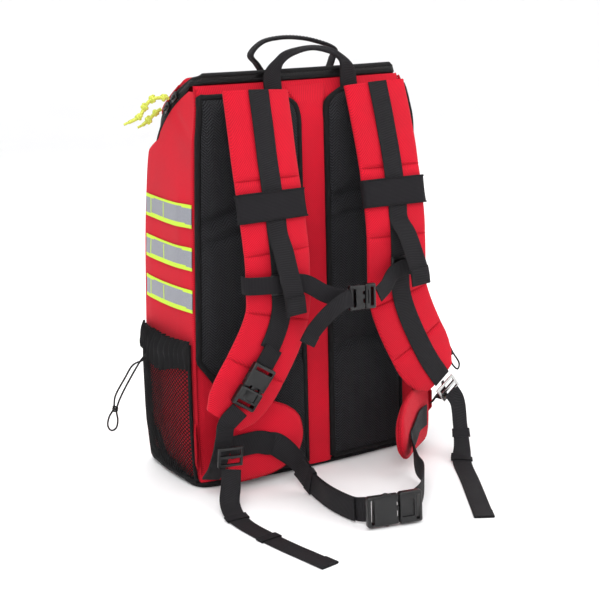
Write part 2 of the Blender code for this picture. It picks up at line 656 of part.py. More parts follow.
def hip_belt():
    route = [(-0.145, -0.1100, 0.062), (-0.112, -0.1140, 0.064), (-0.077, -0.1175, 0.063), (-0.042, -0.1200, 0.060)]
    heights = [0.100, 0.101, 0.101, 0.100, 0.097, 0.091, 0.081, 0.065, 0.036]
    left = hip_wing("left_hip_wing", route, heights)
    route = [(0.160, -0.1090, 0.052), (0.130, -0.1290, 0.052), (0.098, -0.1580, 0.052), (0.064, -0.1900, 0.050)]
    heights = [0.080, 0.084, 0.086, 0.086, 0.084, 0.080, 0.072, 0.058, 0.034]
    right = hip_wing("right_hip_wing", route, heights)
    lift = PAD_THICK / 2 + 0.0034
    turn = placed((-0.026, -0.317, 0.0215), (0.98, -0.20, 0), (-0.2, -0.98, 0.05))
    buckle("hip_buckle", HIP_BUCKLE, turn)
    behind = -HIP_BUCKLE[3] / 2 - 0.0045
    female_slot = turn @ Vector((-HIP_BUCKLE[1] + 0.006, 0, behind))
    male_slot = turn @ Vector((HIP_BUCKLE[2] - 0.006, 0, behind))
    drops = (0, 0, 0, 0, -0.004, -0.008)
    route = [(*(p + o * lift + Vector((0, 0, drop))), 0, -1, 0) for (p, _, o), drop in zip(left, drops)]
    side = (-1, -0.05, 0)
    route += [(-0.0660, -0.150, 0.037, -1, -0.5, 0), (-0.0630, -0.185, 0.0180, *side), (-0.0680, -0.235, 0.0168, *side),
              (-0.0640, -0.280, 0.0168, *side), (*female_slot, -1, -0.2, 0)]
    strap("left_hip_webbing", route, side, HIP_WEB, count=24)
    drops = (0, 0, 0, -0.004, -0.008, -0.014)
    route = [(*(p + o * lift + Vector((0, 0, drop))), *o) for (p, _, o), drop in zip(right[1:], drops)]
    route += [(0.0800, -0.205, 0.0210, 1, -0.3, 0), (0.0700, -0.235, 0.0175, 1, -0.2, 0), (0.0350, -0.280, 0.0168, 0.8, -0.6, 0),
              (*male_slot, 1, -0.2, 0)]
    strap("right_hip_webbing", route, side, HIP_WEB, count=22)


def handles():
    """Two carrying loops of webbing, sewn in on each side of the zip; their tops turn flat."""
    front, leaning, flat = (0, -1, 0), (0, -0.7, 0.7), (0, -0.25, 1)
    x0, x1, foot = -0.051, 0.060, -0.0850
    route = [(x0, foot - 0.002, 0.500, *front), (x0 + 0.002, foot, 0.521, *front), (x0 + 0.020, foot + 0.002, 0.541, *leaning),
             (0.000, foot + 0.003, 0.549, *flat), (0.030, foot + 0.002, 0.546, *leaning), (x1 - 0.001, foot, 0.526, *front),
             (x1, foot - 0.002, 0.500, *front)]
    strap("rear_handle", route, front, WEB, count=24, thick=0.003, pivot=((x0 + x1) / 2, foot, 0.502))
    depth = -0.045
    route = [(-0.044, depth, 0.5306, *front), (-0.058, depth, 0.543, *leaning), (-0.040, depth, 0.558, *flat),
             (-0.005, depth, 0.5620, *flat), (0.032, depth, 0.557, *flat), (0.064, depth, 0.545, *leaning),
             (0.058, depth, 0.5306, *front)]
    strap("front_handle", route, front, WEB, count=26, thick=0.003, pivot=(0, depth, 0.5205))


LEFT_CORD_ROUTE = [
    (-0.1950, 0.006, 0.166), (-0.2010, 0.016, 0.156), (-0.2090, 0.032, 0.132), (-0.2190, 0.050, 0.100),
    (-0.2238, 0.0570, 0.080), (-0.2238, 0.0550, 0.066), (-0.2262, 0.0560, 0.055), (-0.2318, 0.0605, 0.051),
    (-0.2352, 0.0635, 0.058), (-0.2325, 0.0630, 0.070), (-0.2265, 0.0605, 0.081), (-0.2225, 0.0615, 0.098),
    (-0.2120, 0.0500, 0.124), (-0.2050, 0.0380, 0.143), (-0.1950, 0.0260, 0.151),
]
RIGHT_CORD_ROUTE = [
    (0.1945, -0.046, 0.174), (0.2030, -0.054, 0.168), (0.2140, -0.064, 0.152), (0.2250, -0.073, 0.133),
    (0.2315, -0.079, 0.116), (0.2370, -0.086, 0.102), (0.2365, -0.083, 0.092), (0.2310, -0.077, 0.100),
    (0.2275, -0.074, 0.115), (0.2210, -0.067, 0.130), (0.2105, -0.057, 0.147), (0.2010, -0.049, 0.158),
    (0.1945, -0.042, 0.160),
]
CORD_RADIUS = 0.00125
CORD_POINTS = 44


def drawcords():
    """Each pocket's elastic cord: out of the hem, down to its knotted loop and back."""
    tube("left_drawcord", LEFT_CORD_ROUTE, CORD_RADIUS, BLACK_FABRIC, CORD_POINTS)
    tube("right_drawcord", RIGHT_CORD_ROUTE, CORD_RADIUS, BLACK_FABRIC, CORD_POINTS)


def build():
    clear_scene()
    back_panels()
    side_panels()
    base_and_dividers()
    front_cover()
    zips()
    reflective_bands()
    side_pockets()
    shoulder_strap(-1, "left")
    shoulder_strap(1, "right")
    left_strap_hardware()
    right_strap_hardware()
    corner_anchors()
    sternum_strap()
    hip_belt()
    handles()
    drawcords()


build()
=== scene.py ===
"""Looks of the trauma backpack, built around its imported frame, in metres with +Z up.

The harness faces -Y and the front cover +Y. Each sub-assembly is a class: its sizes are fields, and
its build method makes the pieces, dresses them and hangs them on the bodies of the frame.
"""

import logging
import math
from dataclasses import dataclass, field
from enum import Enum
from typing import Callable, Sequence

import bmesh
import bpy
from mathutils import Matrix, Vector, noise


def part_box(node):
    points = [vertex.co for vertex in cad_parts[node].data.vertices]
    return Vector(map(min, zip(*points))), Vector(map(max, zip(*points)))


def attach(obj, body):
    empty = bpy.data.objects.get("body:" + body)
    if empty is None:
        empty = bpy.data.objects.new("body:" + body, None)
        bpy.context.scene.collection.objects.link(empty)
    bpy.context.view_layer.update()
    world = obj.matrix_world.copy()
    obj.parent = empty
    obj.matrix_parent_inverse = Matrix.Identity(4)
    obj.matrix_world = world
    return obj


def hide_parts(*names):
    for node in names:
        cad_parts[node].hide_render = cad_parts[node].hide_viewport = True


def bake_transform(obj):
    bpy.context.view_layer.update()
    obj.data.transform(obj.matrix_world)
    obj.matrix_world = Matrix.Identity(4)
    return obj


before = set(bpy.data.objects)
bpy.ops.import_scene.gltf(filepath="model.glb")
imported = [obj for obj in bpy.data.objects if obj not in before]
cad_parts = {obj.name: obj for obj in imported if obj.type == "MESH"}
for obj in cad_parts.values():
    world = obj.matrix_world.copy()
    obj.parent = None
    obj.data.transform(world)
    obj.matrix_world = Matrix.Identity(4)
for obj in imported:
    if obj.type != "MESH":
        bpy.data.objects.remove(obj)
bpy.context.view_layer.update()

log = logging.getLogger("backpack")

Point = Sequence[float]
Station = tuple[Vector, Vector, Vector]
Socket = bpy.types.NodeSocket

# Sizes shared with the frame.
PANEL = 0.005
GAP = 0.0004
ZIP_WIDTH = 0.015
PAD_WIDTH = 0.091
PAD_THICK = 0.014
WEB = 0.025
PAD_WEB = 0.028
WEB_THICK = 0.0016
HIP_WEB = 0.030
CHEST_WEB = 0.022


# ---------------------------------------------------------------------------------------- finishes


def linear(code: str) -> tuple[float, float, float, float]:
    """Turns an sRGB hex colour to linear.

    Args:
        code: six hex digits, with or without a leading #.

    Returns:
        Linear red, green, blue and an alpha of 1.
    """
    parts = [int(code.lstrip("#")[i:i + 2], 16) / 255 for i in (0, 2, 4)]
    return (*(c / 12.92 if c <= 0.04045 else ((c + 0.055) / 1.055) ** 2.4 for c in parts), 1.0)


def add(tree: bpy.types.NodeTree, kind: str, inputs: dict | None = None, **settings) -> bpy.types.Node:
    """Adds a node with its settings and links.

    Args:
        tree: the node tree.
        kind: the node's type.
        inputs: socket name or number to a value, or to the socket that feeds it.
        settings: the node's own properties.

    Returns:
        The node.
    """
    node = tree.nodes.new(kind)
    for name, value in settings.items():
        setattr(node, name, value)
    for name, value in (inputs or {}).items():
        if isinstance(value, Socket):
            tree.links.new(value, node.inputs[name])
        else:
            node.inputs[name].default_value = value
    return node


def maths(tree: bpy.types.NodeTree, operation: str, *values: Socket | float) -> Socket:
    """The result of one Math node on the values."""
    return add(tree, "ShaderNodeMath", dict(enumerate(values)), operation=operation).outputs[0]


class Pattern(Enum):
    """How a surface was made, which sets the relief that the eye sees."""

    CANVAS = "plain weave"
    WEBBING = "narrow herringbone weave"
    ELASTIC = "ribbed elastic"
    SPACER = "knitted spacer mesh with chevrons"
    BRAID = "braided cord"
    MOULDED = "spark-eroded mould"
    PLATED = "barrel-plated metal"
    BEADED = "glass-bead reflective film"


def canvas(tree: bpy.types.NodeTree, coords: bpy.types.Node, pitch: float) -> Socket:
    """Crossed threads on the object's coordinates, on any upright wall."""
    axes = add(tree, "ShaderNodeSeparateXYZ", {0: coords.outputs["Object"]})
    wave = 2 * math.pi / pitch
    level = maths(tree, "ADD", axes.outputs["X"], axes.outputs["Y"])
    weft = maths(tree, "SINE", maths(tree, "MULTIPLY", level, wave))
    warp = maths(tree, "SINE", maths(tree, "MULTIPLY", axes.outputs["Z"], wave))
    return maths(tree, "MULTIPLY_ADD", maths(tree, "MULTIPLY", weft, warp), 0.5, 0.5)


def herringbone(tree: bpy.types.NodeTree, coords: bpy.types.Node, pitch: float) -> Socket:
    """Slanting threads that fold back at every few millimetres across the webbing."""
    axes = add(tree, "ShaderNodeSeparateXYZ", {0: coords.outputs["UV"]})
    fold = maths(tree, "PINGPONG", axes.outputs["X"], pitch * 4)
    slant = maths(tree, "ADD", axes.outputs["Y"], fold)
    return maths(tree, "MULTIPLY_ADD",
                 maths(tree, "SINE", maths(tree, "MULTIPLY", slant, 2 * math.pi / pitch)), 0.5, 0.5)


def ribs(tree: bpy.types.NodeTree, coords: bpy.types.Node, pitch: float) -> Socket:
    """Fine rubber threads across the band."""
    axes = add(tree, "ShaderNodeSeparateXYZ", {0: coords.outputs["UV"]})
    cross = maths(tree, "SINE", maths(tree, "MULTIPLY", axes.outputs["Y"], 2 * math.pi / pitch))
    return maths(tree, "MULTIPLY_ADD", cross, 0.4, 0.5)


def chevrons(tree: bpy.types.NodeTree, coords: bpy.types.Node, pitch: float) -> Socket:
    """Rows of small holes that zigzag across the knit."""
    axes = add(tree, "ShaderNodeSeparateXYZ", {0: coords.outputs["Object"]})
    fold = maths(tree, "PINGPONG", axes.outputs["X"], pitch * 2.4)
    row = maths(tree, "ADD", axes.outputs["Z"], fold)
    line = maths(tree, "SINE", maths(tree, "MULTIPLY", row, 2 * math.pi / pitch))
    hole = maths(tree, "SINE", maths(tree, "MULTIPLY", axes.outputs["X"], 4 * math.pi / pitch))
    return maths(tree, "MULTIPLY_ADD", maths(tree, "ADD", line, maths(tree, "MULTIPLY", hole, 0.45)), 0.34,
                 0.5)


def grain(tree: bpy.types.NodeTree, coords: bpy.types.Node, pitch: float) -> Socket:
    """Fine even grain at the given spacing."""
    return add(tree, "ShaderNodeTexNoise",
               {"Vector": coords.outputs["Object"], "Scale": 1 / pitch, "Detail": 2.0}).outputs[0]


def beads(tree: bpy.types.NodeTree, coords: bpy.types.Node, pitch: float) -> Socket:
    """Closely packed cells at the given spacing."""
    return add(tree, "ShaderNodeTexVoronoi",
               {"Vector": coords.outputs["Object"], "Scale": 1 / pitch}).outputs[0]


RELIEFS: dict[Pattern, Callable] = {
    Pattern.CANVAS: canvas, Pattern.WEBBING: herringbone, Pattern.ELASTIC: ribs, Pattern.SPACER: chevrons,
    Pattern.BRAID: beads, Pattern.MOULDED: grain, Pattern.PLATED: grain, Pattern.BEADED: beads,
}


@dataclass(frozen=True)
class Finish:
    """One real material and how its surface was made.

    The pitch is the thread spacing or grain in millimetres, drawn coarser than the real one where
    that would be too fine to show, and the depth is its relief.
    """

    name: str
    slot: str
    pattern: Pattern
    colour: str
    # The second colour is painted shade: it darkens the dips between threads, the holes and the low grain.
    hollow_shade: str
    pitch_mm: float
    depth_mm: float
    roughness: float
    metallic: float = 0.0
    sheen: float = 0.0
    gloss: float = 0.5
    cloud: float = 0.12
    cloud_mm: float = 60.0

    def make(self) -> bpy.types.Material:
        """The material, made once and shared.

        Returns:
            The Blender material.
        """
        known = bpy.data.materials.get(self.name)
        if known:
            return known
        made = bpy.data.materials.new(self.name)
        made.use_nodes = True
        tree = made.node_tree
        shader = tree.nodes["Principled BSDF"]
        coords = add(tree, "ShaderNodeTexCoord")
        height = RELIEFS[self.pattern](tree, coords, self.pitch_mm / 1000)
        ramp = add(tree, "ShaderNodeMapRange", {0: height, 1: 0.15, 2: 0.75})
        # Painted shade: the low parts of the relief take the darker second colour.
        threads = add(tree, "ShaderNodeMix",
                      {"Factor": ramp.outputs[0], 6: linear(self.hollow_shade), 7: linear(self.colour)},
                      data_type="RGBA")
        clouds = add(tree, "ShaderNodeTexNoise",
                     {"Vector": coords.outputs["Object"], "Scale": 1000 / self.cloud_mm,
                                                  "Detail": 4.0, "Roughness": 0.6})
        shade = add(tree, "ShaderNodeMapRange",
                    {0: clouds.outputs[0], 1: 0.3, 2: 0.7, 3: 1 - self.cloud, 4: 1 + self.cloud * 0.6})
        tint = add(tree, "ShaderNodeVectorMath", {0: threads.outputs[2], "Scale": shade.outputs[0]},
                   operation="SCALE")
        worn = add(tree, "ShaderNodeMapRange",
                   {0: clouds.outputs[0], 1: 0.3, 2: 0.7, 3: self.roughness - 0.06,
                                                4: min(1.0, self.roughness + 0.06)})
        bump = add(tree, "ShaderNodeBump",
                   {"Height": height, "Distance": self.depth_mm / 1000, "Strength": 0.8})
        tree.links.new(tint.outputs[0], shader.inputs["Base Color"])
        tree.links.new(worn.outputs[0], shader.inputs["Roughness"])
        tree.links.new(bump.outputs[0], shader.inputs["Normal"])
        shader.inputs["Metallic"].default_value = self.metallic
        shader.inputs["Sheen Weight"].default_value = self.sheen
        shader.inputs["Sheen Roughness"].default_value = 0.5
        shader.inputs["Specular IOR Level"].default_value = self.gloss
        return made


# Solution-dyed nylon canvas with a matt coating: a slight nap, and a weave drawn at twice its size to show.
RED_CANVAS = Finish("red_coated_canvas", "red_fabric", Pattern.CANVAS, "D2142B", "A60B20", 2.6, 0.22, 0.85,
                    sheen=0.04,
                    gloss=0.18, cloud=0.10)
# The same canvas doubled at seams and bindings, where it takes less light.
RED_BINDING = Finish("red_seam_canvas", "red_fabric", Pattern.CANVAS, "B81024", "8C0A1A", 2.2, 0.2, 0.85,
                     gloss=0.15, cloud=0.1)
# Polypropylene webbing: nearly black, with a soft shine on its ribs; its ribs are drawn coarse to show.
WEBBING = Finish("charcoal_webbing", "webbing", Pattern.WEBBING, "252326", "0C0C0D", 2.2, 0.25, 0.72,
                 gloss=0.16, cloud=0.16)
# Grosgrain binding tape round the edges of the mesh pads.
BINDING = Finish("black_binding", "webbing", Pattern.WEBBING, "161517", "0A0A0B", 1.8, 0.15, 0.75, gloss=0.2)
# Knitted elastic: duller than webbing, ribbed along its length.
ELASTIC = Finish("black_elastic", "elastic", Pattern.ELASTIC, "232124", "131214", 1.8, 0.2, 0.8, gloss=0.14,
                 cloud=0.16)
# Three-layer spacer mesh: small dark holes in zigzag rows, whose knit catches the light between them.
SPACER = Finish("chevron_spacer_mesh", "air_mesh", Pattern.SPACER, "2E2E31", "010102", 3.6, 0.9, 0.82,
                gloss=0.16)
# Warp-knitted polyester net, whose holes are in its shape.
NET = Finish("black_net", "net_mesh", Pattern.MOULDED, "101012", "080809", 1.0, 0.05, 0.75, gloss=0.2)
TAPE = Finish("zip_tape_black", "zip_tape", Pattern.WEBBING, "151416", "0A0A0B", 1.8, 0.15, 0.7, gloss=0.22)
COIL = Finish("nylon_zip_coil", "zip_tape", Pattern.MOULDED, "101011", "0A0A0B", 0.8, 0.02, 0.42, gloss=0.4)
# Acetal mouldings: nearly black, satin, with a trace of mould texture.
ACETAL = Finish("black_acetal", "black_plastic", Pattern.MOULDED, "0F0F10", "0B0B0C", 0.7, 0.02, 0.34,
                gloss=0.45, cloud=0.08)
ENAMEL = Finish("black_enamel", "enamelled_metal", Pattern.MOULDED, "101011", "0B0B0C", 0.9, 0.02, 0.28)
# Bright zinc on steel wire.
ZINC = Finish("zinc_plate", "plated_metal", Pattern.PLATED, "C8C8C6", "ABABAA", 0.9, 0.02, 0.24,
              metallic=1.0, cloud=0.06)
REFLECTOR = Finish("grey_reflector", "reflective_tape", Pattern.BEADED, "8E9098", "7B7D85", 1.1, 0.03, 0.4,
                   metallic=0.2,
                   cloud=0.08)
LIME_TAPE = Finish("lime_tape", "reflective_tape", Pattern.CANVAS, "CDEB45", "B4D233", 1.4, 0.1, 0.6,
                   gloss=0.25, cloud=0.04)
LIME_BRAID = Finish("lime_braid", "lime_cord", Pattern.BRAID, "DDE36A", "A5AE3C", 1.3, 0.3, 0.75, gloss=0.2,
                    cloud=0.1, cloud_mm=12)
CORD_BRAID = Finish("black_braid", "elastic_cord", Pattern.BRAID, "141416", "070708", 0.8, 0.12, 0.65,
                    gloss=0.3)
STIFFENER = Finish("polyethylene_sheet", "stiffener", Pattern.MOULDED, "3A3A3D", "333336", 1.2, 0.04, 0.5)
LINING = Finish("grey_lining", "lining", Pattern.CANVAS, "3B3B3F", "2C2C30", 1.4, 0.1, 0.7, gloss=0.2)


# ------------------------------------------------------------------------------------------- shapes


def curve_rows(route: Sequence[Sequence[float]], count: int) -> list[Vector]:
    """Evenly spaced rows on a smooth curve through the route.

    Args:
        route: rows of equally many numbers, of which the first three are a place.
        count: how many rows to return.

    Returns:
        The rows, spaced evenly by the distance between their places.
    """
    rows = [Vector(p) for p in route]
    rows = [2 * rows[0] - rows[1], *rows, 2 * rows[-1] - rows[-2]]
    fine = []
    steps = 24
    for a, b, c, d in zip(rows, rows[1:], rows[2:], rows[3:]):
        for k in range(steps):
            t = k / steps
            fine.append(0.5 * (2 * b + (c - a) * t + (2 * a - 5 * b + 4 * c - d) * t * t
                               + (3 * b - a - 3 * c + d) * t ** 3))
    fine.append(rows[-2])
    lengths = [0.0]
    for a, b in zip(fine, fine[1:]):
        lengths.append(lengths[-1] + Vector((b - a)[:3]).length)
    placed = []
    k = 0
    for i in range(count):
        want = lengths[-1] * i / (count - 1)
        while k < len(fine) - 2 and lengths[k + 1] < want:
            k += 1
        t = (want - lengths[k]) / max(lengths[k + 1] - lengths[k], 1e-9)
        placed.append(fine[k] + (fine[k + 1] - fine[k]) * t)
    return placed


@dataclass
class Route:
    """A strap's line: places, each of which may be followed by the way its face looks there."""

    points: Sequence[Sequence[float]]
    facing: Point = (0, -1, 0)
    count: int = 40

    def __post_init__(self) -> None:
        """Works out the evenly spaced stations."""
        rows = curve_rows([(*p, *self.facing) if len(p) == 3 else tuple(p) for p in self.points], self.count)
        self.stations: list[Station] = []
        self.length = 0.0
        for i, row in enumerate(rows):
            before, after = rows[max(i - 1, 0)], rows[min(i + 1, self.count - 1)]
            along = Vector((after - before)[:3]).normalized()
            across = along.cross(Vector(row[3:6])).normalized()
            self.stations.append((Vector(row[:3]), across, across.cross(along).normalized()))
            if i:
                self.length += (self.stations[i][0] - self.stations[i - 1][0]).length

    def at(self, v: float) -> Station:
        """The (place, across, outward) frame at v from 0 to 1."""
        k = min(max(v, 0.0), 0.99999) * (self.count - 1)
        (p, a, o), (q, b, r) = self.stations[int(k)], self.stations[int(k) + 1]
        t = k - int(k)
        return p.lerp(q, t), a.lerp(b, t).normalized(), o.lerp(r, t).normalized()


def mirrored(points: Sequence[Point], side: int) -> list[tuple[float, ...]]:
    """The points with their x on that side."""
    return [(side * p[0], *p[1:]) for p in points]


def ripple(place: Vector, size: float, seed: float = 0.0) -> float:
    """Smooth noise from -1 to 1 at a place, with features of about the given size."""
    return noise.noise(place / size + Vector((seed, seed * 1.7, -seed)))


def grid_mesh(columns: int, rows: int, place: Callable[[float, float], Vector],
              size: tuple[float, float]) -> bmesh.types.BMesh:
    """A grid bent to a surface.

    Args:
        columns: cells along u.
        rows: cells along v.
        place: where the surface is at u, v from 0 to 1.
        size: its real width and length, which set its UV map in metres.

    Returns:
        The bmesh.
    """
    bm = bmesh.new()
    layer = bm.loops.layers.uv.new("UVMap")
    bmesh.ops.create_grid(bm, x_segments=columns, y_segments=rows, size=0.5)
    for face in bm.faces:
        for loop in face.loops:
            loop[layer].uv = ((loop.vert.co.x + 0.5) * size[0], (loop.vert.co.y + 0.5) * size[1])
    for vert in bm.verts:
        vert.co = place(vert.co.x + 0.5, vert.co.y + 0.5)
    return bm


def thicken(bm: bmesh.types.BMesh, thick: float) -> None:
    """Gives an open surface a thickness: away from where its faces look, or towards it when negative."""
    bm.normal_update()
    bmesh.ops.solidify(bm, geom=bm.faces[:], thickness=thick)
    bmesh.ops.recalc_face_normals(bm, faces=bm.faces[:])


def shell(columns: int, rows: int, place: Callable[[float, float], Vector], size: tuple[float, float],
          thick: float) -> bmesh.types.BMesh:
    """A bent grid with a thickness, grown to the side that its faces look away from."""
    bm = grid_mesh(columns, rows, place, size)
    thicken(bm, thick)
    return bm


def round_body(columns: int, rows: int, place: Callable[[float, float], Vector],
               size: tuple[float, float]) -> bmesh.types.BMesh:
    """A closed body whose u runs round its section and v along it; its ends are filled."""
    bm = grid_mesh(columns, rows, place, size)
    bmesh.ops.remove_doubles(bm, verts=bm.verts[:], dist=1e-6)
    rims = [edge for edge in bm.edges if edge.is_boundary]
    bmesh.ops.holes_fill(bm, edges=rims, sides=0)
    bmesh.ops.recalc_face_normals(bm, faces=bm.faces[:])
    return bm


def section(u: float, half: float, thick: float, squareness: float = 3.2) -> tuple[float, float]:
    """A point round a rounded flat section, as (across, outward)."""
    c, s = math.cos(2 * math.pi * u), math.sin(2 * math.pi * u)
    power = 2 / squareness
    return half * math.copysign(abs(c) ** power, c), thick / 2 * math.copysign(abs(s) ** power, s)


def settle(name: str, bm: bmesh.types.BMesh, finishes: Finish | Sequence[Finish], body: str | None,
           nodes: Sequence[str] = (), angle: float = 50.0) -> bpy.types.Object:
    """Makes a piece of a bmesh in the row frame.

    Args:
        name: the piece's name.
        bm: its shape, which is freed.
        finishes: its finish, or its finishes in the order of the faces' material numbers.
        body: the frame's body that it rides on, or None for a piece left on no body.
        nodes: the frame's nodes that it stands for.
        angle: edges sharper than this stay sharp.

    Returns:
        The object.
    """
    mesh = bpy.data.meshes.new(name)
    bm.to_mesh(mesh)
    bm.free()
    made = bpy.data.objects.new(name, mesh)
    bpy.context.collection.objects.link(made)
    several = [finishes] if isinstance(finishes, Finish) else list(finishes)
    for finish in several:
        mesh.materials.append(finish.make())
    mesh.shade_smooth()
    mesh.set_sharp_from_angle(angle=math.radians(angle))
    if body:
        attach(made, body)
    if nodes:
        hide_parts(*nodes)
    log.info("%s on %s", name, body)
    return made


def strap(name: str, route: Route, width: float | Callable[[float], float], finish: Finish, body: str | None,
          nodes: Sequence[str] = (), thick: float = WEB_THICK, lift: float = 0.0, twist: float = 0.0,
          wave: float = 0.0) -> bpy.types.Object:
    """A flat strap with softly rounded faces.

    Args:
        name: the piece's name.
        route: the line of its middle.
        width: its width, or its width at v.
        finish: its finish.
        body: the body that it rides on.
        nodes: the nodes that it stands for.
        thick: its thickness.
        lift: how far its middle lies outwards of the route.
        twist: how far its edges curl, in metres.
        wave: the height of its slight unevenness.

    Returns:
        The object.
    """
    def place(u: float, v: float) -> Vector:
        """A point of the strap's skin, round it by u and along it by v."""
        middle, across, outward = route.at(v)
        broad = width(v) if callable(width) else width
        a, b = section(u, broad / 2, thick, 5.0)
        curl = twist * (2 * a / broad) ** 2
        uneven = wave * ripple(middle, 0.03)
        return middle + across * a + outward * (b + lift + curl + uneven)

    broad = width(0.5) if callable(width) else width
    rows = max(6, int(route.length / 0.004))
    bm = round_body(20, rows, place, (2 * broad, route.length))
    return settle(name, bm, finish, body, nodes)


def tube(name: str, route: Sequence[Point], radius: float, finish: Finish, body: str, count: int = 60,
         nodes: Sequence[str] = (), closed: bool = False) -> bpy.types.Object:
    """A round cord on one smooth open line, as a curve with filled caps."""
    curve = bpy.data.curves.new(name, "CURVE")
    curve.dimensions = "3D"
    curve.bevel_depth = radius
    curve.bevel_resolution = 3
    curve.use_fill_caps = True
    spline = curve.splines.new("POLY")
    rows = curve_rows(route, count)
    spline.points.add(len(rows) - 1)
    for slot, row in zip(spline.points, rows):
        slot.co = (*row[:3], 1.0)
    spline.use_cyclic_u = closed
    spline.use_smooth = True
    curve.materials.append(finish.make())
    made = bpy.data.objects.new(name, curve)
    bpy.context.collection.objects.link(made)
    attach(made, body)
    if nodes:
        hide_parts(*nodes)
    return made


def line_length(route: Sequence[Point]) -> float:
    """The length of the smooth line through the points."""
    rows = curve_rows(route, 200)
    return sum((b - a).length for a, b in zip(rows, rows[1:]))


def bar(bm: bmesh.types.BMesh, low: Point, high: Point, round_edge: float, segments: int = 2) -> None:
    """Adds a bar with rounded edges to a bmesh, between two corners."""
    made = bmesh.ops.create_cube(bm, size=1.0)["verts"]
    low, high = Vector(low), Vector(high)
    bmesh.ops.scale(bm, vec=high - low, verts=made)
    bmesh.ops.translate(bm, vec=(low + high) / 2, verts=made)
    edges = {edge for vert in made for edge in vert.link_edges}
    bmesh.ops.bevel(bm, geom=list(edges), offset=round_edge, segments=segments, profile=0.5, affect="EDGES",
                    material=-1)


def carved(name: str, solid: bmesh.types.BMesh, cuts: Sequence[tuple[Point, Point]],
           unions: Sequence[tuple[Point, Point]] = (),
           round_edge: float = 0.0008) -> bmesh.types.BMesh:
    """A solid with rounded boxes cut out of it and others joined to it.

    Args:
        name: a name for the working meshes.
        solid: the solid, which is freed.
        cuts: low and high corners of what is cut away.
        unions: low and high corners of what is added, after the cuts.
        round_edge: how far the boxes' edges are rounded.

    Returns:
        A new bmesh.
    """
    mesh = bpy.data.meshes.new(name)
    solid.to_mesh(mesh)
    solid.free()
    work = bpy.data.objects.new(name, mesh)
    bpy.context.collection.objects.link(work)
    helpers = []
    for operation, boxes in (("DIFFERENCE", cuts), ("UNION", unions)):
        for low, high in boxes:
            bm = bmesh.new()
            bar(bm, low, high, round_edge)
            tool = bpy.data.objects.new(f"{name}_tool", bpy.data.meshes.new(f"{name}_tool"))
            bm.to_mesh(tool.data)
            bm.free()
            bpy.context.collection.objects.link(tool)
            helpers.append(tool)
            modifier = work.modifiers.new(operation, "BOOLEAN")
            modifier.operation = operation
            modifier.object = tool
    bpy.context.view_layer.update()
    graph = bpy.context.evaluated_depsgraph_get()
    result = bmesh.new()
    result.from_mesh(work.evaluated_get(graph).to_mesh())
    for helper in (*helpers, work):
        bpy.data.objects.remove(helper, do_unlink=True)
    return result


def placed(origin: Point, along: Point, facing: Point) -> Matrix:
    """A matrix with X along, Z towards facing and its origin at the given place."""
    x = Vector(along).normalized()
    y = Vector(facing).cross(x).normalized()
    turn = Matrix((x, y, x.cross(y))).transposed().to_4x4()
    turn.translation = Vector(origin)
    return turn


def stitches(name: str, line: Sequence[tuple[Vector, Vector]], finish: Finish, body: str,
             step: float = 0.0042) -> bpy.types.Object:
    """A row of thread stitches.

    Args:
        name: the piece's name.
        line: (place, outward) pairs along the seam, close together.
        finish: the thread's finish.
        body: the body that it rides on.
        step: the length of a stitch and its gap.

    Returns:
        The object.
    """
    bm = bmesh.new()
    gone = step
    for (here, outward), (there, _) in zip(line, line[1:]):
        gone += (there - here).length
        if gone < step:
            continue
        gone = 0.0
        turn = placed(here, there - here, outward)
        made = bmesh.ops.create_cube(bm, size=1.0)["verts"]
        bmesh.ops.scale(bm, vec=(step * 0.62, 0.0007, 0.0007), verts=made)
        bmesh.ops.transform(bm, matrix=turn, verts=made)
    return settle(name, bm, finish, body)


def inflate(piece: bpy.types.Object, pinned: Callable[[Vector], float], pressure: float, cap: float,
            frames: int = 16) -> None:
    """Puffs a closed fabric piece up by a cloth simulation and applies the result.

    Args:
        piece: the piece, already at its place.
        pinned: how firmly a point is held, from 0 to 1: its seams and sewn edges.
        pressure: the foam's push.
        cap: how far a point may move.
        frames: how long the simulation runs.
    """
    start = [vert.co.copy() for vert in piece.data.vertices]
    group = piece.vertex_groups.new(name="sewn")
    for i, place in enumerate(start):
        group.add([i], pinned(place), "REPLACE")
    cloth = piece.modifiers.new("foam", "CLOTH")
    cloth.settings.quality = 5
    cloth.settings.mass = 0.3
    cloth.settings.use_pressure = True
    cloth.settings.uniform_pressure_force = pressure
    cloth.settings.tension_stiffness = 18
    cloth.settings.compression_stiffness = 12
    cloth.settings.shear_stiffness = 6
    cloth.settings.bending_stiffness = 0.6
    cloth.settings.vertex_group_mass = "sewn"
    cloth.settings.effector_weights.gravity = 0.0
    cloth.collision_settings.use_collision = False
    cloth.collision_settings.use_self_collision = False
    cloth.point_cache.frame_start = 1
    cloth.point_cache.frame_end = frames
    scene = bpy.context.scene
    for number in range(1, frames + 1):
        scene.frame_set(number)
    graph = bpy.context.evaluated_depsgraph_get()
    moved = [vert.co.copy() for vert in piece.evaluated_get(graph).data.vertices]
    piece.modifiers.remove(cloth)
    piece.vertex_groups.remove(group)
    scene.frame_set(1)
    for vert, old, new in zip(piece.data.vertices, start, moved):
        step = new - old
        vert.co = old + step * min(1.0, cap / max(step.length, 1e-9))
    bm = bmesh.new()
    bm.from_mesh(piece.data)
    bmesh.ops.subdivide_edges(bm, edges=bm.edges[:], cuts=1, use_grid_fill=True, smooth=0.6)
    bm.to_mesh(piece.data)
    bm.free()
    piece.data.shade_smooth()
    log.info("%s inflated", piece.name)


# -------------------------------------------------------------------------------------- the pack body


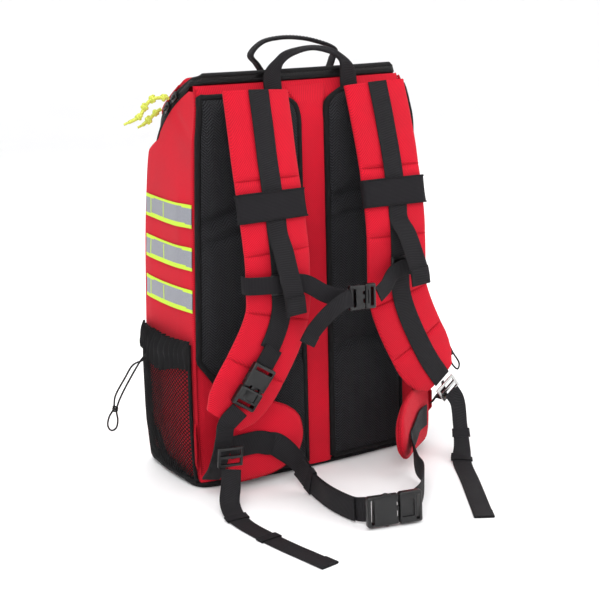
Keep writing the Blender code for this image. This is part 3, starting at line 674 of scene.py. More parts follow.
@dataclass
class BodyShape:
    """The box of the pack: its back, its sides and the line of its front and top."""

    back: float = -0.090
    setback: float = 0.010
    roll: float = 0.014
    roll_heights: tuple[float, float, float] = (0.460, 0.487, 0.510)
    half_widths: tuple = ((0.0, 0.168), (0.06, 0.171), (0.17, 0.170), (0.34, 0.164), (0.45, 0.159),
                          (0.51, 0.149))
    front_line: tuple = (
        (0.060, 0.0), (0.066, 0.03), (0.068, 0.12), (0.067, 0.22), (0.065, 0.30), (0.060, 0.365),
        (0.050, 0.420), (0.026, 0.466), (-0.008, 0.501), (-0.060, 0.530),
    )
    zip_turn: tuple[float, float] = (0.73, 0.83)
    bow: float = 0.017
    steps: int = 60

    def __post_init__(self) -> None:
        """Works out the smooth front line."""
        facing = [(0, -z if z > 0.4 else -1, -1 if z > 0.4 else 0) for _, z in self.front_line]
        points = [(0, y, z, *face) for (y, z), face in zip(self.front_line, facing)]
        self.line = Route(points, count=self.steps + 1).stations

    @property
    def top(self) -> float:
        """The height of the back panel's top edge."""
        return self.roll_heights[2]

    def half_width(self, z: float) -> float:
        """Half the body's width at a height, on a smooth line."""
        for (z0, w0), (z1, w1) in zip(self.half_widths, self.half_widths[1:]):
            if z <= z1:
                return w0 + (w1 - w0) * max(z - z0, 0.0) / (z1 - z0)
        return self.half_widths[-1][1]

    def back_y(self, x: float, z: float) -> float:
        """The harness side of the back panel."""
        bow = self.setback * (x / self.half_width(z)) ** 2
        low, middle, high = self.roll_heights
        lower = max(0.0, min(z, middle) - low) / (middle - low)
        upper = max(0.0, z - middle) / (high - middle)
        return self.back + bow + self.roll * (0.3 * lower + 0.7 * upper)

    def front(self, t: float, inset: float = 0.0) -> Vector:
        """The front line at t from the floor to the top, moved inwards."""
        k = min(int(t * self.steps), self.steps - 1)
        (here, _, inward), (there, _, _) = self.line[k], self.line[k + 1]
        return here.lerp(there, t * self.steps - k) + inward * inset

    def turned(self, t: float) -> float:
        """How far the zip has turned from the side, 0, onto the front face, 1."""
        low, high = self.zip_turn
        return min(1.0, max(0.0, (high - t) / (high - low)))

    def side_x(self, z: float, y: float) -> float:
        """Half width of the padded side wall, which stands a little proud in its middle."""
        inside = max(0.0, min(1.0, (y + 0.07) / 0.03)) * max(0.0, min(1.0, (0.075 - y) / 0.03))
        puff = 0.0026 * inside * max(0.0, math.sin(math.pi * min(1.0, z / 0.50)))
        dent = 0.0016 * inside * ripple(Vector((0, y, z)), 0.085, 3.0)
        return self.half_width(z) + puff + dent * (1.0 if z > 0.2 else 0.3)


BODY = BodyShape()


@dataclass
class BackPanels:
    """The harness side: the red back, its spine strip and the two spacer-mesh pads."""

    wall: float = 0.008
    pad_top: float = 0.496
    pad_foot: float = 0.012
    pad_inner: float = 0.0205
    corner: float = 0.030
    lift: float = 0.0125
    grooves: tuple = ((0.356, 0.0090, 0.009), (0.330, 0.0060, 0.007), (0.158, 0.0080, 0.009))
    binding: float = 0.0042

    def build(self) -> None:
        """Makes the back, the strip and the pads with their bindings."""
        self.back()
        self.spine()
        for side, word in ((-1, "left"), (1, "right")):
            self.mesh_pad(side, word)

    def back(self) -> None:
        """The red back panel, from side to side."""
        def place(u: float, v: float) -> Vector:
            """A point of the back panel, across by u and up by v."""
            z = 0.003 + (BODY.top - 0.003) * v
            x = (2 * u - 1) * BODY.half_width(z)
            edge = 1 - abs(2 * u - 1)
            soft = 0.0025 * max(0.0, 1 - edge / 0.03) ** 2
            return Vector((x, BODY.back_y(x, z) + soft - 0.0006 * ripple(Vector((x, 0, z)), 0.05), z))

        bm = shell(60, 90, place, (0.34, 0.51), self.wall)
        settle("back_wall", bm, RED_CANVAS, "pack", ["back_panel"])
        seam = [(x, BODY.back_y(x, z) - 0.0006, z) for x, z in ((-BODY.half_width(z), z) for z in
                                                                (0.02, 0.1, 0.2, 0.3, 0.4, 0.46, 0.49,
                                                                 0.507))]
        for side, word in ((-1, "left"), (1, "right")):
            line = [(-side * x, y, z) for x, y, z in seam]
            tube(f"{word}_back_seam", line, 0.0016, RED_BINDING, "pack")

    def spine(self) -> None:
        """The padded red strip between the mesh pads."""
        def place(u: float, v: float) -> Vector:
            """A point of the strip's skin, round it by u and up by v."""
            z = 0.006 + 0.498 * v
            half = 0.0160 + 0.002 * v
            sunk = max(0.0, (v - 0.955) / 0.045)
            a, b = section(u, half + 0.0018 + 0.010 * sunk, 0.0062 * (1 - 0.7 * sunk), 3.0)
            y = BODY.back_y(a, z) - 0.0028 * (1 - sunk) - 0.0004 * ripple(Vector((a, 0, z)), 0.03)
            return Vector((a, y - b, z))

        bm = round_body(24, 110, place, (0.04, 0.49))
        settle("spine_pad", bm, RED_CANVAS, "pack", ["spine_strip"])

    def outline(self, u: float, v: float) -> tuple[float, float]:
        """(x, z) of the right pad at u across and v up, with its rounded and cut corners."""
        z = self.pad_foot + (self.pad_top - self.pad_foot) * v
        inner = self.pad_inner
        over = z - (self.pad_top - self.corner)
        if over > 0:
            inner += self.corner - math.sqrt(max(0.0, self.corner ** 2 - over ** 2))
        outer = BODY.half_width(z) - 0.003
        if z < 0.17:
            outer -= 0.035 * min(1.0, (0.17 - z) / 0.05)
        return inner + (outer - inner) * u, z

    def height(self, u: float, v: float, x: float, z: float) -> float:
        """How far the pad stands off the back."""
        edge = min(u, 1 - u) * 0.13
        ends = min(v, 1 - v) * 0.48
        crown = min(1.0, min(edge, ends) / 0.016)
        rise = self.lift * (0.42 + 0.58 * math.sin(crown * math.pi / 2) ** 0.8)
        for level, depth, reach in self.grooves:
            middle = level + 0.010 * math.sin(u * 5.0)
            rise -= depth * math.exp(-((z - middle) / reach) ** 2) * crown
        return rise + 0.0009 * crown * ripple(Vector((x, 0, z)), 0.045, 1.0)

    def mesh_pad(self, side: int, word: str) -> None:
        """One spacer-mesh pad and the binding round it."""
        def place(u: float, v: float) -> Vector:
            """A point of the pad's face, across by u and up by v."""
            x, z = self.outline(u, v)
            return Vector((side * x, BODY.back_y(x, z) - self.height(u, v, x, z), z))

        columns, rows = 48, 150
        bm = grid_mesh(columns, rows, place, (0.145, 0.48))
        rim = [edge for edge in bm.edges if edge.is_boundary]
        grown = bmesh.ops.extrude_edge_only(bm, edges=rim)["geom"]
        skirt = [g for g in grown if isinstance(g, bmesh.types.BMVert)]
        for vert in skirt:
            vert.co.y = BODY.back_y(vert.co.x, vert.co.z) - GAP
        bmesh.ops.holes_fill(bm, edges=[e for e in bm.edges if e.is_boundary], sides=0)
        bmesh.ops.recalc_face_normals(bm, faces=bm.faces[:])
        settle(f"{word}_spacer_pad", bm, SPACER, "pack", [f"{word}_air_mesh_pad"], 60)
        ring = [(0.0, i / 40) for i in range(41)] + [(i / 12, 1.0) for i in range(1, 13)]
        ring += [(1.0, 1 - i / 40) for i in range(1, 41)] + [(1 - i / 12, 0.0) for i in range(1, 12)]
        line = []
        for u, v in ring:
            x, z = self.outline(u, v)
            line.append((side * x, BODY.back_y(x, z) - 0.0052, z))
        line.append(line[0])
        tube(f"{word}_pad_binding", line, self.binding, BINDING, "pack", count=240)


@dataclass
class BodyWalls:
    """The two side walls, the base, the lining and the stiffener."""

    edge: float = PANEL + ZIP_WIDTH + 2 * GAP

    def build(self) -> None:
        """Makes the walls and dresses what stays inside."""
        for side, word in ((-1, "left"), (1, "right")):
            self.side(side, word)
        self.base()
        for node, finish in (("frame_sheet", STIFFENER), ("lower_divider", LINING),
                             ("upper_divider", LINING)):
            dress(node, finish)

    def side_point(self, side: int, u: float, t: float, out: float = 0.0) -> Vector:
        """A point of a side wall: u from the back edge to the front, t up the front line."""
        front = BODY.front(t, self.edge * min(1.0, 2 - 2 * BODY.turned(t)))
        z = front.z
        half = BODY.half_width(z)
        back = BODY.back_y(half, z) + 0.0015
        y = back + (front.y - back) * u
        soft = 0.003 * max(0.0, 1 - u / 0.03) ** 2
        return Vector((side * (BODY.side_x(z, y) - soft + out), y, z))

    def side(self, side: int, word: str) -> None:
        """One padded side wall, with the creases of a filled bag near its top."""
        def place(u: float, v: float) -> Vector:
            """A point of the wall, across it by u and up by v."""
            t = 0.012 + 0.958 * v
            crease = 0.0014 * math.exp(-((t - 0.79 - 0.10 * u) / 0.018) ** 2) * math.sin(math.pi * u)
            return self.side_point(side, u, t, -crease)

        bm = grid_mesh(36, 130, place, (0.15, 0.55))
        thicken(bm, PANEL * side)
        settle(f"{word}_wall", bm, RED_CANVAS, "pack", [f"{word}_side_panel"])

    def base(self) -> None:
        """The base with its bound lower edge."""
        low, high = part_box("base_panel")
        bm = bmesh.new()
        bar(bm, low, high, 0.0022, 3)
        settle("base_wall", bm, RED_CANVAS, "pack", ["base_panel"])
        half = BODY.half_width(0.01)
        y0, y1 = BODY.back_y(half, 0.01) + 0.004, BODY.front(0.02).y - 0.004
        middle = BODY.back_y(0, 0.01)
        line = [(-half + 0.002, y1, 0.0042), (-half, (y0 + y1) / 2, 0.0038), (-half + 0.001, y0, 0.0042),
                (-half * 0.6, BODY.back_y(half * 0.6, 0.01) + 0.001, 0.0042), (0, middle + 0.001, 0.0042),
                (half * 0.6, BODY.back_y(half * 0.6, 0.01) + 0.001, 0.0042), (half - 0.001, y0, 0.0042),
                (half, (y0 + y1) / 2, 0.0038), (half - 0.002, y1, 0.0042)]
        tube("base_piping", line, 0.0036, BINDING, "pack", count=120)


def dress(node: str, finish: Finish) -> None:
    """Gives a node that stays as it is its finish."""
    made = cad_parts[node]
    made.data.materials.clear()
    made.data.materials.append(finish.make())


@dataclass
class FrontCover:
    """The cover that zips round the front and folds down at its foot."""

    stations: tuple[float, float] = (0.014, 0.957)
    slope_start: float = 0.661

    def build(self) -> None:
        """Makes the front, the slope and the seam between them."""
        self.panel("front_cover_wall", self.stations[0], self.slope_start - 0.0008, ["front_cover_panel"])
        self.panel("top_slope_wall", self.slope_start + 0.0008, self.stations[1], ["top_slope_panel"])
        seam = [tuple(self.point(u / 12, self.slope_start, -0.0002)) for u in range(13)]
        tube("slope_seam_piping", seam, 0.0019, RED_BINDING, "front_cover", 90)
        for side, u in ((-1, 0.0), (1, 1.0)):
            line = [tuple(self.point(u, 0.03 + 0.90 * i / 20, 0.0012)) for i in range(21)]
            tube(f"{'left' if side < 0 else 'right'}_cover_piping", line, 0.0019, RED_BINDING,
                 "front_cover", 120)
        for name, t in (("lower", 0.645), ("upper", 0.677)):
            line = [(self.point(i / 150, t, -0.0004), Vector((0, 0.5, 0.5))) for i in range(6, 145)]
            stitches(f"{name}_slope_stitches", line, RED_BINDING, "front_cover")

    def point(self, u: float, t: float, inset: float) -> Vector:
        """A point of the cover at u across and t up, moved inwards."""
        side = BODY.front(t, inset)
        half = BODY.half_width(side.z) - (PANEL + ZIP_WIDTH + 2 * GAP) * min(1.0, 2 * BODY.turned(t))
        across = 2 * u - 1
        bow = BODY.bow * (1 - across ** 2) * (1 - t ** 6) * min(1.0, 0.4 + 6 * t)
        soft = 0.0022 * max(0.0, (abs(across) - 0.95) / 0.05) ** 2
        creases = 0.0012 * ripple(Vector((across * half, side.y, side.z)), 0.09, 5.0) * (1 - across ** 4)
        place = BODY.front(t, inset - bow + soft - creases)
        return Vector((across * half, place.y, place.z))

    def panel(self, name: str, low: float, high: float, nodes: list[str]) -> None:
        """One padded stretch of the cover."""
        bm = grid_mesh(56, int(150 * (high - low)), lambda u, v: self.point(u, low + (high - low) * v, 0.0),
                       (0.3, 0.58 * (high - low)))
        thicken(bm, -PANEL)
        settle(name, bm, RED_CANVAS, "front_cover", nodes)


@dataclass
class Zip:
    """The zip round the cover: two domed tapes, their coils, and two sliders with knotted pulls."""

    tooth: float = 0.0023
    corner: float = 0.013
    sliders: tuple = (("lower", 0.868), ("upper", 0.912))
    steps: dict = field(default_factory=lambda: {
        "upper": ((-0.0015, 0, -0.0008), (-0.013, 0, 0.0005), (-0.025, 0, -0.001), (-0.034, 0.001, -0.010),
                  (-0.041, 0.002, -0.021), (-0.055, 0.003, -0.027)),
        "lower": ((-0.0015, 0, -0.0008), (-0.009, 0.001, -0.005), (-0.017, 0.001, -0.012),
                  (-0.027, 0.002, -0.0195)),
    })
    knots: dict = field(default_factory=lambda: {"upper": (6, 20, 33, 46), "lower": (16, 40)})

    def __post_init__(self) -> None:
        """Works out the tapes' line, from foot to foot over the top."""
        self.rows = curve_rows(self.line(), 420)

    def line(self) -> list[tuple[float, ...]]:
        """Rows of the cover edge, the body edge and the outward direction."""
        left = []
        for t in (0.054 + 0.0372 * i for i in range(25)):
            f = BODY.turned(t)
            ends = []
            for edge in (0.0, ZIP_WIDTH):
                place = BODY.front(t, (1 - f) * (PANEL + GAP + edge))
                x = BODY.half_width(place.z) - f * (PANEL + GAP + ZIP_WIDTH - edge)
                ends.append((-x, place.y, place.z))
            normal = Vector((-(1 - f), f, 0.0)) if t < 0.6 else Vector((-(1 - f) - 0.01, f, 0.3 * f))
            left.append((*ends[0], *ends[1], *normal.normalized()))
        top, high = BODY.top, BODY.top + GAP + ZIP_WIDTH
        low = BODY.top + GAP
        reach = BODY.half_width(top) - self.corner
        back = BODY.back_y(reach, top) + 0.0012
        for angle in (0.12, 0.45, 0.78, 1.1, 1.4):
            x = -reach - self.corner * math.cos(angle)
            y = back + self.corner * (1 - math.sin(angle))
            lean = 0.0045 * math.cos(angle)
            left.append((x + lean, y, high - lean, x, y, low - 0.001, -math.cos(angle), -math.sin(angle),
                         0.2))
        across = []
        for i in range(9):
            x = reach * (2 * i / 8 - 1)
            y = BODY.back_y(x, top) + 0.0012
            across.append((x, y, high, x, y, low, 0, -1, 0))
        right = [(-r[0], r[1], r[2], -r[3], r[4], r[5], -r[6], r[7], r[8]) for r in reversed(left)]
        return left + across + right

    def at(self, u: float, v: float, lift: float) -> Vector:
        """A point of the zip: u from the cover to the body, v along it, lifted outwards."""
        k = min(max(v, 0.0), 0.99999) * (len(self.rows) - 1)
        row = self.rows[int(k)].lerp(self.rows[int(k) + 1], k - int(k))
        near, far, out = Vector(row[:3]), Vector(row[3:6]), Vector(row[6:9]).normalized()
        return near.lerp(far, u) + out * lift

    def build(self) -> None:
        """Makes the tapes and coils, then the sliders and their pulls."""
        parts = (("cover", "front_cover", 0.02, 0.475), ("body", "pack", 0.525, 0.99))
        for word, body, low, high in parts:
            self.tape(word, body, low, high)
            self.coil(word, body)
        for word, t in self.sliders:
            self.slider(word, t)

    def tape(self, word: str, body: str, low: float, high: float) -> None:
        """A tape that is domed over the cord in its edge."""
        def place(u: float, v: float) -> Vector:
            """A point of the tape's skin, round it by u and along it by v."""
            a, b = section(u, 0.5, 1.0, 2.6)
            dome = 0.0016 * math.cos(math.pi * a)
            sag = 0.0005 * ripple(Vector((v * 1.4, 0, 0)), 0.05, 7.0)
            return self.at(low + (high - low) * (a + 0.5), v, dome + b * 0.0022 - 0.001 + sag)

        length = 1.4
        bm = round_body(18, 420, place, (0.02, length))
        settle(f"{word}_tape", bm, TAPE, body, [f"{word}_zip_tape"])

    def coil(self, word: str, body: str) -> None:
        """The teeth of one half, as far apart as those of a coarse zip."""
        shift, lean = (0.0, 0.455) if word == "cover" else (0.5, 0.545)
        bm = bmesh.new()
        count = int(1.4 / self.tooth)
        for i in range(count):
            v = (i + shift) / count
            here = self.at(lean, v, 0.0006)
            ahead, side = self.at(lean, v + 0.001, 0.0006), self.at(lean + 0.1, v, 0.0006)
            turn = placed(here, ahead - here, (ahead - here).cross(side - here))
            made = bmesh.ops.create_cube(bm, size=1.0)["verts"]
            bmesh.ops.scale(bm, vec=(self.tooth * 0.42, 0.0030, 0.0016), verts=made)
            bmesh.ops.transform(bm, matrix=turn, verts=made)
        settle(f"{word}_coil", bm, COIL, body)

    def slider(self, word: str, t: float) -> None:
        """A slider with its bridge, on the left of the pack, and its knotted cord."""
        depth = PANEL + GAP + ZIP_WIDTH / 2
        a, b = BODY.front(t - 0.02, depth), BODY.front(t + 0.02, depth)
        low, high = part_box(f"{word}_zip_slider")
        middle = (Vector(low) + Vector(high)) / 2
        turn = Matrix((Vector((1, 0, 0)), (a - b).normalized(),
                       (a - b).normalized().cross(Vector((1, 0, 0))))).transposed().to_4x4()
        turn.translation = middle
        bm = bmesh.new()
        bar(bm, (-0.0008, -0.0068, -0.0048), (0.0024, 0.0068, 0.0048), 0.0007)
        bar(bm, (-0.0032, -0.0046, -0.0014), (-0.0020, 0.0046, 0.0014), 0.0005)
        bar(bm, (-0.0030, -0.0048, -0.0014), (0.0004, -0.0034, 0.0014), 0.0005)
        bar(bm, (-0.0030, 0.0034, -0.0014), (0.0004, 0.0048, 0.0014), 0.0005)
        bmesh.ops.transform(bm, matrix=turn, verts=bm.verts[:])
        settle(f"{word}_slider", bm, ENAMEL, f"{word}_zip_slider", [f"{word}_zip_slider"])
        self.pull(word, middle)

    def pull(self, word: str, ring: Vector) -> None:
        """A cord doubled through the slider and knotted along its length."""
        pivot = ring + Vector((-0.0055, 0.0, 0.0))
        route = [tuple(pivot + Vector(step)) for step in self.steps[word]]
        foot = Vector(route[-1])
        body = f"{word}_zip_pull"
        cord = tube(f"{word}_pull_cord", route, 0.0023, LIME_BRAID, body, 24, [body])
        rows = curve_rows(route, 60)
        for number, at in enumerate(self.knots[word]):
            here, ahead = rows[at], rows[at + 1]
            self.knot(f"{word}_pull_knot_{number + 1}", here, ahead - here, 0.0034,
                                   number * 1.1, body)
        tail = [tuple(foot), tuple(foot + Vector((-0.0025, 0.0010, -0.0010))),
                tuple(foot + Vector((-0.0060, 0.001, -0.0024)))]
        tube(f"{word}_pull_tail", tail, 0.0016, LIME_BRAID, body, 8)
        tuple(route[0])
        line_length(route)

    def knot(self, name: str, place: Vector, along: Vector, size: float, spin: float,
             body: str) -> bpy.types.Object:
        """An overhand knot: a cord wound once and a half round the pull."""
        turn = placed(place, along, (math.cos(spin), math.sin(spin), 0.3))
        line = []
        for i in range(19):
            angle = 2 * math.pi * 1.6 * i / 18
            reach = size * (0.75 + 0.12 * math.sin(2 * angle))
            line.append(tuple(turn @ Vector((size * (i / 9 - 1) * 0.75, reach * math.cos(angle),
                                             reach * math.sin(angle)))))
        return tube(name, line, 0.0023, LIME_BRAID, body, 40)


@dataclass
class ReflectiveBands:
    """Three tapes on each side wall: lime edges, a grey middle, and lime bars across it."""

    top: float = 0.367
    pitch: float = 0.0535
    tall: float = 0.029
    lime: float = 0.0045
    bars: tuple = (0.58, 0.88)

    def build(self) -> None:
        """Makes the six tapes."""
        for side, word in ((-1, "left"), (1, "right")):
            for i, level in enumerate(("top", "middle", "bottom")):
                self.band(side, f"{word}_{level}", self.top - self.pitch * i)

    def band(self, side: int, word: str, top: float) -> None:
        """One tape and its bars."""
        def place(u: float, v: float) -> Vector:
            """A point of the band, across the wall by u and down by v."""
            z = top - self.tall * v
            half = BODY.half_width(z)
            back = BODY.back_y(half, z) + 0.0035
            y = back + (0.0555 - back) * u
            sag = 0.0016 * math.sin(math.pi * u)
            return Vector((side * (BODY.side_x(z - sag, y) + 0.0010 + 0.0003 * ripple(Vector((0, y, z)),
                                                                                      0.02)), y, z - sag))

        bm = grid_mesh(60, 20, place, (0.13, self.tall))
        ratio = self.lime / self.tall
        for face in bm.faces:
            v = (top - face.calc_center_median().z) / self.tall
            face.material_index = 1 if v < ratio or v > 1 - ratio else 0
        thicken(bm, 0.0009 * side)
        settle(f"{word}_tape_band", bm, [REFLECTOR, LIME_TAPE], "pack", [f"{word}_reflective_band"])
        for number, u in enumerate(self.bars):
            def across(s: float, v: float, u: float = u) -> Vector:
                """A point of one bar, which stands at u along the band."""
                near = place(u + 0.013 * (s - 0.5), ratio + (1 - 2 * ratio) * v)
                return near + Vector((side * 0.0005, 0, 0))

            bm = grid_mesh(3, 8, across, (0.002, 0.016))
            thicken(bm, 0.0006 * side)
            settle(f"{word}_tape_bar_{number + 1}", bm, LIME_TAPE, "pack")


@dataclass
class SidePockets:
    """A bottle pocket of net on each side, gathered at its hem by an elastic cord."""

    rows: tuple = ((0.004, 0.006), (0.03, 0.014), (0.08, 0.019), (0.14, 0.020), (0.172, 0.0185),
                   (0.184, 0.016), (0.195, 0.0135))
    back: float = -0.0735
    front: float = 0.064
    cell: float = 0.0054
    thread: float = 0.0013
    hem: float = 0.030

    def bulge(self, z: float) -> float:
        """How far the pocket stands off the wall at a height."""
        for (z0, b0), (z1, b1) in zip(self.rows, self.rows[1:]):
            if z <= z1:
                return b0 + (b1 - b0) * max(0.0, (z - z0) / (z1 - z0))
        return self.rows[-1][1]

    def point(self, side: int, u: float, z: float, out: float = 0.0) -> Vector:
        """A point of the pocket's outer face at u from its back edge to its front."""
        swell = self.bulge(z) * max(0.0, math.sin(math.pi * u)) ** 0.5
        slack = 0.0016 * ripple(Vector((0, u * 0.13, z)), 0.03, 9.0) * math.sin(math.pi * u)
        return Vector((side * (BODY.half_width(z) + 0.0030 + swell + slack + out),
                       self.back + (self.front - self.back) * u, z))

    def build(self) -> None:
        """Makes each pocket's net, hem and binding."""
        for side, word in ((-1, "left"), (1, "right")):
            self.net(side, word)

    def net(self, side: int, word: str) -> None:
        """The net with its holes, the ruffled hem and the side bindings."""
        top = 0.195 - self.hem
        columns, rows = int(0.150 / self.cell), int(top / self.cell)
        bm = bmesh.new()
        layer = bm.loops.layers.uv.new("UVMap")
        bmesh.ops.create_grid(bm, x_segments=columns, y_segments=rows, size=0.5)
        for face in bm.faces:
            for loop in face.loops:
                loop[layer].uv = (loop.vert.co.x * 0.15, loop.vert.co.y * top)
        bmesh.ops.poke(bm, faces=bm.faces[:])
        straight = [e for e in bm.edges if not e.is_boundary
                    and min(abs(e.verts[0].co[i] - e.verts[1].co[i]) for i in (0, 1)) < 1e-5]
        bmesh.ops.dissolve_edges(bm, edges=straight, use_verts=False)
        for vert in bm.verts:
            u, v = vert.co.x + 0.5, vert.co.y + 0.5
            vert.co = self.point(side, u, 0.004 + (top - 0.004) * v)
        made = settle(f"{word}_pocket_net", bm, NET, "pack", [f"{word}_mesh_pocket"])
        wire = made.modifiers.new("threads", "WIREFRAME")
        wire.thickness = self.thread
        wire.use_replace = True
        wire.use_boundary = True
        hem = self.ruffle(side, word)
        for edge, u in (("back", 0.004), ("front", 0.996)):
            line = [tuple(self.point(side, u, z)) for z in (0.006, 0.04, 0.09, 0.14, 0.18, 0.19)]
            tube(f"{word}_pocket_{edge}_binding", line, 0.0024, BINDING, "pack")
        line = [tuple(self.point(side, u / 10, 0.0075, -0.001)) for u in range(11)]
        tube(f"{word}_pocket_foot_binding", line, 0.0038, BINDING, "pack")

    def ruffle(self, side: int, word: str) -> bpy.types.Object:
        """The hem, gathered into folds by the cord inside it."""
        def place(u: float, v: float) -> Vector:
            """A point of the hem, along its gathers by u and up by v."""
            z = 0.195 - self.hem * (1.12 - 1.12 * v)
            folds = math.sin(2 * math.pi * (15 * u + 0.5 * math.sin(9 * u) + 0.18 * math.sin(7 * v)))
            pinch = math.sin(math.pi * min(1.0, v * 1.05)) ** 0.5
            deep = 0.0040 * folds * (0.30 + 0.70 * abs(2 * v - 1)) * max(0.0, math.sin(math.pi * u)) ** 0.3
            drop = 0.0060 * math.sin(9.0 * u + 1.0) * (1 - v) - 0.010 * (1 - u) * (1 - v)
            wild = 0.0030 * ripple(Vector((v * 0.02, u * 0.14, 0.0)), 0.012, 4.0) * math.sin(math.pi * u)
            return self.point(side, u, z + drop, 0.0026 * pinch + deep + wild + 0.001)

        bm = grid_mesh(150, 14, place, (0.15, self.hem))
        thicken(bm, 0.0009 * side)
        return settle(f"{word}_pocket_hem", bm, BINDING, "pack")


# ----------------------------------------------------------------------------------------- the harness


@dataclass
class Buckle:
    """A side-release buckle: a female with open sides, and a male with two sprung arms and a tongue.

    In its own frame the male leaves towards +X and Z is its thickness.
    """

    name: str
    web: float
    female_length: float
    male_length: float
    thick: float
    place: Matrix
    female_body: str
    male_body: str

    @property
    def half(self) -> float:
        """Half the buckle's width."""
        return self.web / 2 + 0.004

    def build(self) -> None:
        """Makes both halves."""
        self.female()
        self.male()

    def female(self) -> None:
        """The housing: a mouth, windows in its sides, and a webbing slot with its bar."""
        half, t, length = self.half, self.thick / 2, self.female_length
        solid = bmesh.new()
        bar(solid, (-length, -half, -t), (0, half, t), t * 0.55, 3)
        reach = length * 0.62
        inner = t * 0.54
        cuts = [((-reach - 0.001, -half + 0.003, -inner), (0.01, half - 0.003, inner)),
                ((-reach * 0.88, -half - 0.01, -inner), (-reach * 0.32, half + 0.01, inner)),
                ((-length + 0.004, -self.web / 2, -t * 3), (-length + 0.0085, self.web / 2, t * 3)),
                ((-0.004, -half * 0.5, t * 0.4), (0.006, half * 0.5, t * 3))]
        bm = carved(f"{self.name}_female", solid, cuts)
        self.pinch(bm, -reach * 0.6)
        bmesh.ops.transform(bm, matrix=self.place, verts=bm.verts[:])
        settle(f"{self.name}_housing", bm, ACETAL, self.female_body, [f"{self.name}_female"], 32)

    def pinch(self, bm: bmesh.types.BMesh, waist: float) -> None:
        """Draws the sides in a little beside the webbing, as a moulding is."""
        for vert in bm.verts:
            near = math.exp(-((vert.co.x + self.female_length) / (self.female_length * 0.35)) ** 2)
            off = vert.co.x - waist
            narrow = math.exp(-(off / (self.female_length * 0.26)) ** 2)
            broad = math.exp(-(off / (self.female_length * 0.9)) ** 2)
            vert.co.y *= 1 - 0.15 * narrow - 0.02 * near
            vert.co.z *= 1 - 0.18 * broad * (vert.co.y / self.half) ** 2

    def male(self) -> None:
        """The plate with its bar, the tongue, and the arms whose elbows show in the side windows."""
        half, t, length = self.half, self.thick / 2, self.male_length
        reach = self.female_length * 0.62
        solid = bmesh.new()
        bar(solid, (0.0006, -half, -t), (length, half, t), t * 0.55, 3)
        cuts = [((length - 0.0085, -self.web / 2, -t * 3), (length - 0.004, self.web / 2, t * 3)),
                ((0.003, -half * 0.55, t * 0.55), (length - 0.011, half * 0.55, t * 3))]
        bm = carved(f"{self.name}_male", solid, cuts,
                    [((-reach, -0.003, -t * 0.36), (0.003, 0.003, t * 0.36))])
        bmesh.ops.transform(bm, matrix=self.place, verts=bm.verts[:])
        settle(f"{self.name}_plate", bm, ACETAL, self.male_body, [f"{self.name}_male"], 32)
        facing = self.place.to_3x3() @ Vector((0, 0, 1))
        for side, word in ((-1, "left"), (1, "right")):
            line = ((0.004, half - 0.0045), (-reach * 0.25, half - 0.0048), (-reach * 0.5, half - 0.0022),
                    (-reach * 0.72, half - 0.0012), (-reach * 0.9, half - 0.0050))
            points = [(*(self.place @ Vector((x, side * y, 0))), *facing) for x, y in line]
            strap(f"{self.name}_{word}_arm", Route(points, count=24), 0.0042, ACETAL, self.male_body,
                  thick=t * 0.95)


@dataclass
class Slide:
    """A three-bar slide that webbing runs through, with a thumb tab on a metal one."""

    name: str
    place: Matrix
    width: float
    length: float
    thick: float
    finish: Finish
    body: str = "pack"
    tab: float = 0.0
    rail: float = 0.0035

    def build(self) -> None:
        """Makes the frame and its bars."""
        half, long = self.width / 2, self.length / 2
        window = (self.length - 3 * self.rail) / 2
        solid = bmesh.new()
        bar(solid, (-long, -half, -self.thick / 2), (long, half, self.thick / 2), self.thick * 0.4, 3)
        cuts = [((start, -half + self.rail, -0.01), (start + window, half - self.rail, 0.01))
                for start in (-long + self.rail, self.rail / 2)]
        tabs = [((long - 0.001, -half * 0.5, -self.thick * 0.4),
                 (long + self.tab, half * 0.5, self.thick * 0.4))] if self.tab else []
        bm = carved(self.name, solid, cuts, tabs, self.thick * 0.3)
        bmesh.ops.transform(bm, matrix=self.place, verts=bm.verts[:])
        settle(f"{self.name}_frame", bm, self.finish, self.body, [self.name], 32)


def keeper(name: str, route: Route, v: float, width: float, thick: float, finish: Finish, body: str,
           lift: float = 0.0) -> None:
    """A sewn loop of elastic that holds a strap's end at v of its route."""
    reach = 0.006 / route.length
    points = [(*route.at(v + s)[0], *route.at(v + s)[2]) for s in (-reach, 0, reach)]
    strap(name, Route(points, count=8), width + 0.004, finish, body, thick=thick, lift=lift)


def hem(name: str, route: Route, width: float, finish: Finish, body: str, length: float = 0.020,
        lift: float = 0.0) -> None:
    """The end of a strap folded back on itself and sewn down."""
    start = 1 - length / route.length
    points = [(*route.at(start + (1 - start) * i / 5)[0], *route.at(start + (1 - start) * i / 5)[2])
              for i in range(6)]
    folded = Route(points, count=14)
    strap(name, folded, width + 0.0003, finish, body, thick=WEB_THICK * 2.1, lift=lift + WEB_THICK * 0.3)


